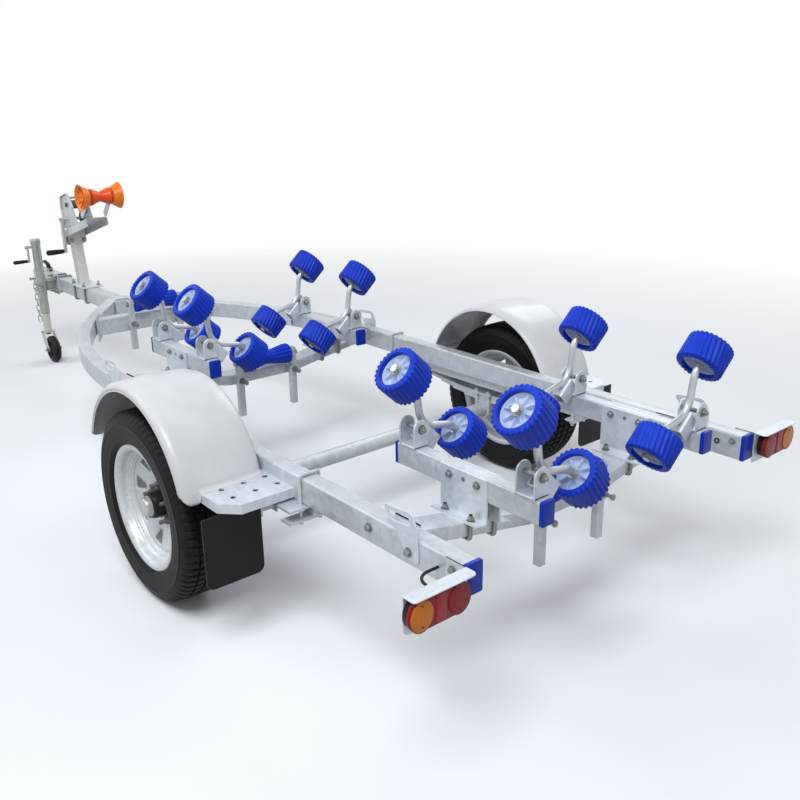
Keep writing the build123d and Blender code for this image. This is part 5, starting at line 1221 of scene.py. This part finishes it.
# winch post with its arm, bow roller and winch
post = {
    "plateX": 2433.0,  # middle of the base plate
    "foot": 2431.0,  # rear face of the post at the base plate
    "plateTop": 479.0,
    "depth": 62.0,
    "width": 50.0,
    "lean": 10.0,
    "base": (200.0, 110.0, 8.0),
    "boltX": 71.0,
    "saddle": (94.0, 686.0, 5.0),  # width, lower edge, thickness
    "saddleBolts": (33.0, 19.0),  # to each side, above the lower edge
    "gusset": (2528.0, 566.0, 6.0),  # foot, top, thickness
    "front": (2553.0, 752.4),
    "slope": 15.0,
    "length": 393.3,
    "armHalf": 56.0,
    "armHeight": 40.0,
    "armWall": 4.0,
}
bow = {
    "x": 2100.0,
    "z": 962.0,
    "earY": 50.0,
    "earHalf": 16.0,
    "earFoot": (371.3, 20.0),
    # radius over the place across: the spool from its middle out, and a bell's outside
    "spool": [(0, 23.6), (3, 24.4), (42, 40.6), (45.5, 41.8), (47, 41)],
    "bell": [(59, 42.4), (60, 43.4), (63, 44.6), (92, 61.4), (97, 64.6), (98.6, 65), (99.4, 64.2)],
    "cup": [(98.6, 61), (95, 57), (88, 46), (83, 36), (81, 24)],
    "rib": [(81, 14), (81.5, 30), (86.5, 44), (93, 54), (90, 54), (84.5, 22), (84.5, 14)],
    "ribs": 10,
}
winch = {
    "low": 62.0,
    "high": 238.0,
    "height": 168.0,
    "plateY": 41.0,
    "plate": 4.0,
    "crank": (96.0, 48.0),
    "drum": (152.0, 112.0),
    "gear": (54.0, 30, 18.0),  # radius, teeth, boss
    "pinion": (26.0, 13, 12.0),
    "crankY": 70.0,
    "crankArm": 165.0,
    "gripLength": 92.0,
}


def armAt(along, y, up):
    # a place along the arm from its front end, to the left, and square to its floor
    slope = math.radians(post["slope"])
    x = post["front"][0] - along * math.cos(slope) + up * math.sin(slope)
    z = post["front"][1] + along * math.sin(slope) + up * math.cos(slope)
    return np.array([x, y, z])


armWay = armAt(1, 0, 0) - armAt(0, 0, 0)
armUp = armAt(0, 0, 1) - armAt(0, 0, 0)


def makePost():
    # the leaning tube between base plate and arm: upward = (sin lean, cos lean)
    w, d, floor = post["width"], post["depth"], post["plateTop"]
    length, width, thick = post["base"]
    lean = math.radians(post["lean"])
    way = np.array([math.cos(lean), 0, -math.sin(lean)])
    upward = np.array([math.sin(lean), 0, math.cos(lean)])
    foot = np.array([post["foot"] + d / 2, 0, floor])
    deep = d * math.cos(lean)
    # the tube runs from the base plate to the arm's floor
    ends = {"startOn": (foot - [0, 0, 0.2], upright), "endOn": (armAt(0, 0, -0.3), armUp)}
    tube = carried([foot, foot + upward * 250], rectangle(w, deep, 7), left, **ends)
    weld = carried([foot - [0, 0, 0.4], foot + [0, 0, 3.6]], rectangle(w + 7, d + 7, 9), left)
    base = slab(rectangle(length, width, 7), (post["plateX"], 0, rail["top"] + 0.2), ahead, left, thick, 1.2)
    spots = [(post["plateX"] + k, 0, 0) for k in (-post["boltX"], post["boltX"])]
    bars = [uBolt(spot, left, upright, 40.3, 390.7, 500.0, 479.2) for spot in spots]
    # saddle plates behind and in front of the tube, clamped by two bolts that pass beside it
    wide, bottom, plate = post["saddle"]
    out, rise = post["saddleBolts"]
    plates, bolts = [], []
    for side in (-1, 1):
        face = foot + upward * (bottom - floor) / math.cos(lean) + way * side * (deep / 2 + 0.1)
        tall = (armAt(0, 0, 0) - face) @ armUp / (upward @ armUp) - 1.5
        corners = [(-wide / 2, 0), (wide / 2, 0), (wide / 2, tall), (-wide / 2, tall)]
        outline = outlineOf(corners, [19, 19, 3, 3])
        plates.append(slab(outline, face - way * (plate if side < 0 else 0), left, upward, plate, 0.9))
        for y in (out, -out):
            head = face + way * side * (plate + 0.1) + upward * rise + [0, y, 0]
            bolts.append(boltHead(head, way * side, 18, 8, 4 if side < 0 else 0))
            if side > 0:
                bolts.append(rod(head - way * (deep + 2 * plate), head, 5, 20, 0.5))
    foot, top, thin = post["gusset"]
    front = [post["foot"] + d + (z - floor) * math.tan(lean) - 1 for z in (floor, top)]
    corners = np.array([(front[0], floor), (foot, floor), (foot, floor + 9), (front[1], top)])
    gusset = slab(corners, (0, thin / 2, 0), ahead, upright, thin, 0.6)
    makePiece("winch_post_tube", [tube, weld, gusset], "post", node="winch_post")
    makePiece("winch_post_base", base, "plate")
    makePiece("winch_post_u_bolts", bars, "bolt")
    makePiece("saddle_plates", plates, "cream")
    makePiece("saddle_bolts", bolts, "bolt")


def makeArm():
    # an open tray folded from one sheet, with rounded front corners, and the two ears of the bow roller
    h, t, half = post["armHeight"], post["armWall"], post["armHalf"]
    bends = rounded([(-half, h), (-half, 0), (half, 0), (half, h)], 7, 5)
    inner = rounded([(half - t, h), (half - t, t), (t - half, t), (t - half, h)], 4, 5)
    tray = carried([armAt(0, 0, 0), armAt(post["length"], 0, 0)], np.vstack([bends, inner]), -left)
    foot, pinAt = armAt(bow["earFoot"][0], 0, bow["earFoot"][1]), np.array([bow["x"], 0, bow["z"]])
    way = unit(pinAt - foot)
    span, r = np.linalg.norm(pinAt - foot), bow["earHalf"]
    turn = np.radians(np.linspace(90, 270, 15))
    low = np.stack([r * np.cos(turn), r * np.sin(turn)], 1)
    outline = np.vstack([low, [span, 0] - low])
    ear = slab(outline, foot + [0, bow["earY"] + 6, 0], way, np.cross(left, way), 6, 0.8)
    pin = lathe([(-70, 0), (-70, 7), (-68, 8), (68, 8), (70, 7), (70, 0)], pinAt, left, 24, closed=False)
    makePiece("winch_arm", tray, "tube", smooth=20)
    makePiece("bow_roller_ears", bothSides([ear]), "plate")
    makePiece("bow_roller_pin", pin, "zinc")


def aroundPlates(outline, centre, count, thickness):
    # thin plates that stand radially: outline gives place outwards and along the axis
    plates = []
    for turn in ringAngles(count):
        out = np.array([math.cos(turn), 0, math.sin(turn)])
        plates.append(slab(outline, centre - thickness / 2 * np.cross(out, left), out, left, thickness, 0.4))
    return plates


def makeBowRoller():
    # spool and two bells turned about the pin; the cups carry ribs
    middle = np.array([bow["x"], 0, bow["z"]])
    half = bow["spool"]
    spool = [(-y, r) for y, r in half[::-1]] + half[1:] + [(47, 9.2), (-47, 9.2)]
    line = bow["bell"] + bow["cup"] + [(81, 9.2), (59, 9.2)]
    bells, ribs = [], []
    for side in (1, -1):
        bells.append(lathe([(side * y, r) for y, r in line], middle, left, 72))
        ribs += aroundPlates(np.array([(r, side * y) for y, r in bow["rib"]]), middle, bow["ribs"], 3.0)
        collar = [(side * 81, 9.2), (side * 81, 19), (side * 90, 18), (side * 90, 9.2)]
        ribs.append(lathe(collar, middle, left, 32))
    body = "bow_roller"
    makePiece("bow_roller_spool", lathe(spool, middle, left, 64), "bow orange", body, body, smooth=45)
    makePiece("bow_roller_bells", bells, "bow bell", body, smooth=45)
    makePiece("bow_roller_ribs", ribs, "bow bell", body)


def gearShapes(centre, radius, teeth, boss, segments):
    # r = radius + a wave with flat tops and feet: depth * clip(2.4 * cos(teeth * angle), -1, 1)
    depth = 5
    angle = ringAngles(teeth * 8)
    r = radius - depth / 2 + depth / 2 * np.clip(2.4 * np.cos(teeth * angle), -1, 1)
    outline = np.stack([r * np.cos(angle), r * np.sin(angle)], 1)
    wheelShape = slab(outline, centre - left * 30, ahead, upright, 8, 0.5)
    return [wheelShape, rod(centre - left * 40, centre - left * 29, boss, segments, 0.8)]


def makeWinch():
    # two side plates with folded rims, then drum, gear, pinion and crank
    low, high, top = winch["low"], winch["high"], winch["height"]
    py, t = winch["plateY"], winch["plate"]
    origin = armAt(0, 0, 0)
    drumX, drumUp = winch["drum"]
    corners = [(low, 4.2), (high, 4.2), (high - 14, top * 0.5)]
    corners += [(drumX + 34, top), (low + 26, top), (low, top * 0.66)]
    outline = outlineOf(corners, [3, 3, 30, 22, 18, 16])
    steel = [slab(outline[::-1], origin + [0, y, 0], armWay, armUp, t, 0.7) for y in (py, -py - t)]
    # folded rims on the plates' front and top edges
    fold = [(low + 1.5, 6), (low + 1.5, top * 0.66), (low + 26, top - 1.5)]
    fold += [(drumX + 34, top - 1.5), (high - 15.5, top * 0.5)]
    for y in (py + t + 3.0, -py - t - 3.0):
        line = np.array([armAt(along, y, up) for along, up in rounded(fold, 16, 6)])
        steel.append(carried(line, rectangle(9, 3, 1.2, 3), left))
    flat = rectangle(high - low, 2 * py - 1, 3)
    steel.append(slab(flat, armAt((low + high) / 2, 0, 8.2), armWay, left, 4, 0.6))
    bar = rod(armAt(low + 40, -py, top - 12), armAt(low + 40, py, top - 12), 6, 20, 0.4)
    makePiece("winch_sides", steel, "tube", node="winch_frame")
    makePiece("winch_tie_bar", bar, "zinc")

    drumAt, crankAt = armAt(drumX, 0, drumUp), armAt(winch["crank"][0], 0, winch["crank"][1])
    drum = [(-30, 8), (-30, 22), (34, 22), (34, 44.6), (35, 46), (37.4, 46), (38, 45), (38, 8)]
    spool = [lathe(drum, drumAt, left, 56), rod(drumAt - left * 51, drumAt + left * 51, 8, 24, 0.8)]
    spool += [hexHead(drumAt + way * 45.4, way, 22, 9) for way in (left, -left)]
    makePiece("winch_drum_spool", spool, "darkSteel", "winch_drum", "winch_drum")
    makePiece("winch_gear", gearShapes(drumAt, *winch["gear"], 28), "black steel", "winch_drum")

    y = winch["crankY"]
    end = crankAt + [0, y, -winch["crankArm"]]
    shaft = [
        rod(crankAt - left * 51, crankAt + left * (y + 8), 8, 24, 0.8),
        hexHead(crankAt + left * (y + 7), left, 20, 6),
        carried([crankAt + [0, y, 8], end - upright * 8], rectangle(14, 20, 3), left),
        rod(end, end + left * 12, 6, 16),
    ]
    grip = gripShape(end + left * 11, winch["gripLength"], 14)
    pinion = gearShapes(crankAt, *winch["pinion"], 24)
    makePiece("winch_pinion", pinion, "black steel", "winch_crank", "winch_crank")
    makePiece("winch_crank_arm", shaft, "zinc", "winch_crank")
    makePiece("winch_grip", grip, "grip", "winch_crank", smooth=50)


def gripShape(start, length, radius):
    # a handle that swells from its collar to a rounded end, with shallow rings
    t = np.linspace(0, 1, 70)
    swell = 0.78 + 0.22 * np.sin(np.clip(t * 1.35, 0, 1) * math.pi / 2)
    end = np.sqrt(np.clip(1 - np.clip((t - 0.86) / 0.14, 0, 1) ** 2.4, 0, 1))
    rings = 0.5 * (np.sin(t * fullTurn * 11) > 0.3) * (t > 0.12) * (t < 0.84)
    return lathe([(0.0, 0.0), *zip(t * length, radius * swell * end - rings)], start, left, 32, closed=False)


# jockey wheel
jockey = {
    "x": 2800.0,
    "y": 118.0,
    "tubeBottom": 275.0,
    "tubeTop": 680.0,
    "legBottom": 172.0,
    "legTop": 500.0,
    "wheelX": 2748.0,
    "wheelRadius": 75.0,
    "wheelHalf": 21.0,
    "plateY": 41.2,
    "crankZ": 652.0,
    "crankY": 165.0,
    "crankArm": 76.0,
    "gripLength": 78.0,
}


def makeJockey():
    # turned tube, cap and clamp, the plate with its U-bolts, the crank and the inner tube
    x, y, z, plateY = jockey["x"], jockey["y"], railZ, jockey["plateY"]
    low, top, foot = jockey["tubeBottom"], jockey["tubeTop"], (x, y, 0)
    tube = lathe([(low, 21.2), (low, 23.4), (low + 0.8, 24), (top, 24), (top, 21.2)], foot, upright, 48)
    cap = [(top - 14, 24.1), (top - 14, 26.4), (top - 13, 27), (top + 9, 27)]
    cap += [(top + 12.4, 25.4), (top + 14, 21), (top + 14, 0)]
    collar = [(z - 29, 24.2), (z - 29, 30.4), (z - 28.2, 31), (z + 28.2, 31), (z + 29, 30.4), (z + 29, 24.2)]
    clamp = [lathe(collar, foot, upright, 48)]
    for level in (z + 26, z - 26):
        clamp.append(blockShape((x - 31, plateY, level - 3), (x + 31, y - 26, level + 3), 0.8))
    clamp.append(blockShape((x - 3, plateY, z - 26), (x + 3, y - 26, z + 26), 0.6))
    plate = slab(rectangle(96, 112, 8), (x, plateY, z), ahead, upright, 6, 1.0)
    bent = [(x - 44, y + 8, z), (x - 47, y + 30, z + 16), (x - 47, y + 52, z + 20)]
    bars = [uBolt((x + k, 0, z), upright, left, 42.8, -40.6, 60.0, plateY) for k in (-38, 38)]
    bars.append(rod((x - 30, y + 8, z), (x - 44, y + 8, z), 6, 20))
    bars.append(carried(bent, rectangle(9, 9, 4), ahead))
    hub = np.array([x, jockey["crankY"], jockey["crankZ"]])
    end = hub - upright * jockey["crankArm"]
    crank = [rod((x, y + 23, hub[2]), hub + left * 9, 8, 24), hexHead(hub + left * 8, left, 17, 6)]
    crank.append(carried([hub + upright * 9, end - upright * 8], rectangle(11, 13, 4), left))
    crank.append(rod(end, end + left * 10, 5, 16))
    low, top = jockey["legBottom"], jockey["legTop"]
    leg = [(low, 0), (low, 20), (low + 1, 20.9), (top, 20.9), (top, 0)]
    leg = lathe(leg, foot, upright, 40, closed=False)
    makePiece("jockey_outer_tube", tube, "jack", node="jockey_tube")
    makePiece("jockey_cap", lathe(cap, foot, upright, 48, closed=False), "jack", smooth=45)
    makePiece("jockey_clamp", clamp, "jack")
    makePiece("jockey_plate", plate, "plate")
    makePiece("jockey_u_bolts", bars, "bolt")
    makePiece("jockey_crank", crank, "zinc")
    makePiece("jockey_grip", gripShape(end + left * 8, jockey["gripLength"], 10.5), "grip", smooth=50)
    makePiece("jockey_inner_tube", leg, "cream", "jockey_leg", "jockey_leg")


def makeJockeyFork():
    # two cheeks that lean back to the wheel's axle, under a plate on the leg's pin
    x, y, wx, wz = jockey["x"], jockey["y"], jockey["wheelX"], jockey["wheelRadius"]
    corners = [(x - 22, 171), (x + 22, 171), (x + 22, 149), (wx + 13, wz - 6)]
    corners += [(wx, wz - 15), (wx - 14, wz - 3), (wx - 13, wz + 8)]
    outline = outlineOf(corners[::-1], [10, 12, 14, 12, 14, 3, 3])
    cheeks = [slab(outline, (0, face, 0), ahead, upright, 5, 0.7) for face in (y + 32, y - 27)]
    cheeks.append(blockShape((x - 22, y - 32, 165), (x + 22, y + 32, 171), 0.8))
    bolts = [
        rod((wx, y - 36, wz), (wx, y + 36, wz), 6, 20),
        boltHead((wx, y + 32.2, wz), left, 19, 8, 5),
        boltHead((wx, y - 32.2, wz), -left, 19, 8),
        rod((x, y, 156), (x, y, 172), 8, 24),
        rod((x, y, 152), (x, y, 159), 14, 24),
    ]
    half, centre = jockey["wheelHalf"], np.array([wx, y, wz])
    tread = [(-half, 53), (-half - 0.6, 58), (-half + 0.5, 63), (-half + 4.5, 69.5), (-half + 11, 74)]
    tread.append((-half + 16, wz))
    tread += [(-k, r) for k, r in tread[::-1]] + [(half - 3, 50), (3 - half, 50)]
    core = [(-13, 50.4), (-13, 44), (-6, 40), (-6, 24), (-17, 21), (-21, 18), (-21, 7)]
    core += [(-k, r) for k, r in core[::-1]]
    hub = [lathe(core, centre, left, 56)]
    for side in (1, -1):
        corners = np.array([(18, 5.5), (42, 5.5), (43, 11), (18, 15)]) * [1, side]
        hub += aroundPlates(corners, centre, 6, 3.0)
    body = "jockey_wheel"
    makePiece("jockey_fork_plates", cheeks, "steel", "jockey_fork", "jockey_fork")
    makePiece("jockey_axle", bolts, "bolt", "jockey_fork")
    tread = lathe(tread, centre, left, 72)
    makePiece("jockey_tyre", tread, "black moulding", body, body, smooth=45)
    makePiece("jockey_hub", hub, "black moulding", body)


# coupler and safety chain
coupler = {
    "rear": 2857.0,
    "half": 40.3,
    "ball": 3137.0,
    "top": 476.0,
    "bottom": 412.0,
    "nose": 46.0,
    "wall": 5.0,
    "shoulder": 9.0,
    "handle": [(2982, 474), (3006, 514), (3060, 526), (3112, 512)],
    "handleBend": 20.0,
    "boltsX": (2870, 2918),
    "boltsZ": 433,
}
chain = {
    "x": 3098.0,
    "y": 60.3,
    "bolt": 424.0,
    "pitch": 33.0,
    "wire": 7.0,
    "width": 26.0,
    "links": 8,
    "inner": 34.1,
}


def couplerOutline():
    # hull of the straight part and the nose: sides run to where they touch the nose's circle
    half, r, rear = coupler["half"], coupler["nose"], coupler["rear"]
    x0, reach = rear + 140, coupler["ball"]
    gap = reach - x0
    first = math.pi - math.atan2(half, gap) - math.acos(r / math.hypot(gap, half))
    turn = np.linspace(first, -first, 40)
    nose = np.stack([reach + r * np.cos(turn), r * np.sin(turn)], 1)
    return np.vstack([[(rear, -half), (rear, half), (x0, half)], nose, [(x0, -half)]])[::-1]


def couplerShell():
    # pressed from one sheet: skirt, rounded shoulder and top, then the same inside
    top, bottom, wall, radius = (coupler[key] for key in ("top", "bottom", "wall", "shoulder"))
    outline = couplerOutline()
    middle = np.array([coupler["ball"] - 60, 0.0])
    turn = np.linspace(0, math.pi / 2, 7)
    rows = [(0.0, 1.0, bottom), (0.0, 1.0, bottom + 20)]  # inset, share of the way from the middle, height
    rows += [(radius * (1 - math.cos(t)), 1.0, top - radius + radius * math.sin(t)) for t in turn]
    rows += [(radius, 0.6, top), (radius, 0.01, top), (wall, 0.01, top - wall), (wall, 0.6, top - wall)]
    rows += [(wall, 1.0, top - wall), (wall, 1.0, bottom)]
    levels = []
    for inset, share, z in rows:
        line = middle + (drawnIn(outline, inset) - middle) * share
        levels.append(np.column_stack([line, np.full(len(line), z)]))
    return gridShape(np.array(levels), closeU=True)


def makeCoupler():
    # the shell with its fins, the turned socket and dome, handle and bolts
    top, ballAt = coupler["top"], (coupler["ball"], 0, 0)
    steel = [couplerShell()]
    for y in (-14, 9):
        steel.append(blockShape((2968, y, top - 1), (2992, y + 5, top + 20), 1.4))
    cup = [(416, 25.4), (416, 34.4), (417.4, 36), (top - 1, 36), (top - 1, 0), (455.2, 0)]
    arcs = [(430 + 25.3 * math.cos(t), 25.3 * math.sin(t)) for t in np.linspace(0.06, math.pi / 2, 12)]
    dome = [(top - 2, 33), (top + 1.5, 31.4), (top + 4.6, 24), (top + 6.2, 12), (top + 6.4, 0)]
    socket = [lathe(cup + arcs, ballAt, upright, 48), lathe(dome, ballAt, upright, 48, closed=False)]
    line = np.array([(x, 0, z) for x, z in rounded(coupler["handle"], coupler["handleBend"], 8)])
    handle = carried(line, rectangle(24, 10, 4.4, 5), left)
    bolts = []
    for way in (left, -left):
        spots = [np.array([x, 0, coupler["boltsZ"]]) + way * 40.6 for x in coupler["boltsX"]]
        bolts += [boltHead(spot, way, 19, 8, 4) for spot in spots]
    hang, level, out = chain["x"], chain["bolt"], chain["y"] + 20
    bolts.append(rod((hang, 40, level), (hang, out + 0.6, level), 5, 20))
    bolts.append(hexHead((hang, out, level), left, 20, 6))
    bolts.append(rod((2980, -17, top + 11), (2980, 17, top + 11), 4, 16))
    makePiece("coupler_shell", steel, "steel", node="coupler", smooth=40)
    makePiece("coupler_socket", socket, "zinc", smooth=40)
    makePiece("coupler_handle", handle, "black moulding", smooth=50)
    makePiece("coupler_bolts", bolts, "bolt")


def makeChain():
    # each link a round bar bent to a long ring, every other one turned a quarter
    across, reach, r = chain["width"] / 2 - 3.5, chain["inner"] / 2 + 3.5, chain["wire"] / 2 - 0.1
    turn = ringAngles(40)
    tall = across * np.sin(turn) + (reach - across) * np.sign(np.sin(turn))
    wide, tall = across * np.cos(turn)[:, None], tall[:, None]
    section = circle(r, 12)
    links = []
    for number in range(chain["links"]):
        z = chain["bolt"] + 5.3 - chain["inner"] / 2 - number * chain["pitch"]
        side = left if number % 2 else ahead
        axis = np.cross(side, upright)
        path = np.array([chain["x"], chain["y"], z]) + wide * side + tall * upright
        out = np.cross(unit(np.roll(path, -1, 0) - np.roll(path, 1, 0)), axis)
        points = path[:, None] + section[None, :, :1] * out[:, None] + section[None, :, 1:] * axis
        links.append(gridShape(points, closeU=True))
    makePiece("chain_links", links, "zinc", node="safety_chain", smooth=60)


makePost()
makeArm()
makeBowRoller()
makeWinch()
makeJockey()
makeJockeyFork()
makeCoupler()
makeChain()
print("winch, jockey wheel, coupler and chain made")

paintNode("axle", "tube")
paintNode("spring_sets", "steel")
paintNode("step_plates", "plate")
paintNode("mud_flaps", "flap rubber")
paintNode("lamp_leads", "cable")

# floor, lamps, world and camera
stage = {
    "seen": (0.95, 0.955, 0.96),  # floor colour that the camera sees
    "bounce": (0.36, 0.355, 0.34),  # floor colour for the light it throws back
    "floorHalf": 20.0,
    "fadeFrom": 2.6,  # the floor fades out between these distances, m
    "fadeTo": 5.5,
    "sky": (0.95, 0.97, 1.0),
    "skyStrength": 0.40,
    "lampColour": (0.90, 0.95, 1.0),
    "lamps": {  # place, size and power
        "key": ((-3.0, 2.6, 5.2), 3.0, 210),
        "fill": ((3.0, 4.0, 4.4), 3.5, 80),
        "back": ((1.0, -5.0, 4.8), 3.5, 90),
    },
    "eye": (-3.2567, 1.7018, 1.3843),
    "yaw": 0.6948,
    "pitch": 0.3284,
    "roll": -0.0149,
    "focalPixels": 875.57,
    "widthPixels": 800,
    "sensor": 36.0,
    "farthest": 200.0,
    "aim": (0, 0, 0.3),  # where the lamps look
}


def makeFloor():
    # a wide flat floor that keeps the shadow near the trailer and thins out to the white world with distance
    mesh = bpy.data.meshes.new("floor")
    corners = np.array([(-1, -1, 0), (1, -1, 0), (1, 1, 0), (-1, 1, 0)]) * stage["floorHalf"]
    mesh.from_pydata(corners.tolist(), [], [(0, 1, 2, 3)])
    floor = bpy.data.objects.new("floor", mesh)
    bpy.context.scene.collection.objects.link(floor)
    f = Finish("floor")
    seen = f.add("ShaderNodeBsdfDiffuse", {}, {0: stage["seen"]})
    bounce = f.add("ShaderNodeBsdfDiffuse", {}, {0: stage["bounce"]})
    near = f.add("ShaderNodeMixShader", {}, {0: f.picture(), 1: bounce, 2: seen})
    away = f.add("ShaderNodeVectorMath", {"operation": "LENGTH"}, {0: f.place}, "Value")
    fade = f.between(away, stage["fadeFrom"], stage["fadeTo"])
    clear = f.add("ShaderNodeBsdfTransparent", {}, {})
    whole = f.add("ShaderNodeMixShader", {}, {0: fade, 1: near, 2: clear})
    f.add("ShaderNodeOutputMaterial", {}, {0: whole})
    mesh.materials.append(f.material)


def makeCamera():
    # looks forward along yaw to the right of the trailer's line and pitch below level, then rolls
    yaw, pitch, roll = stage["yaw"], stage["pitch"], stage["roll"]
    look = np.array([math.cos(pitch) * math.cos(yaw), -math.cos(pitch) * math.sin(yaw), -math.sin(pitch)])
    right = unit(np.cross(look, upright))
    up = np.cross(right, look)
    c, s = math.cos(roll), math.sin(roll)
    right, up = c * right + s * up, c * up - s * right
    data = bpy.data.cameras.new("camera")
    camera = bpy.data.objects.new("camera", data)
    bpy.context.scene.collection.objects.link(camera)
    turn = Matrix((right, up, -look)).transposed().to_4x4()
    camera.matrix_world = Matrix.Translation(Vector(stage["eye"])) @ turn
    data.sensor_fit = "HORIZONTAL"
    data.sensor_width = stage["sensor"]
    data.lens = stage["focalPixels"] / stage["widthPixels"] * stage["sensor"]
    data.clip_end = stage["farthest"]
    bpy.context.scene.camera = camera


def makeLamp(name, place, size, power):
    # a round area lamp that looks at the trailer's middle
    data = bpy.data.lights.new(name, "AREA")
    data.shape = "DISK"
    data.size = size
    data.energy = power
    data.color = stage["lampColour"]
    lamp = bpy.data.objects.new(name, data)
    bpy.context.scene.collection.objects.link(lamp)
    lamp.location = place
    lamp.rotation_euler = (Vector(stage["aim"]) - Vector(place)).to_track_quat("-Z", "Y").to_euler()


def makeWorld():
    # a soft pale sky lights the trailer, and the picture and the reflections show plain white
    f = Finish("studio", bpy.data.worlds)
    sky = f.add("ShaderNodeBackground", {}, {0: stage["sky"], 1: stage["skyStrength"]})
    white = f.add("ShaderNodeBackground", {}, {0: (1, 1, 1, 1), 1: 1.0})
    both = f.add("ShaderNodeMixShader", {}, {0: f.picture(), 1: sky, 2: white})
    f.add("ShaderNodeOutputWorld", {}, {0: both})
    bpy.context.scene.world = f.material


makeFloor()
makeCamera()
makeWorld()
for name, (place, size, power) in stage["lamps"].items():
    makeLamp(name, place, size, power)
bpy.context.scene.view_settings.view_transform = "Standard"
print("stage set")
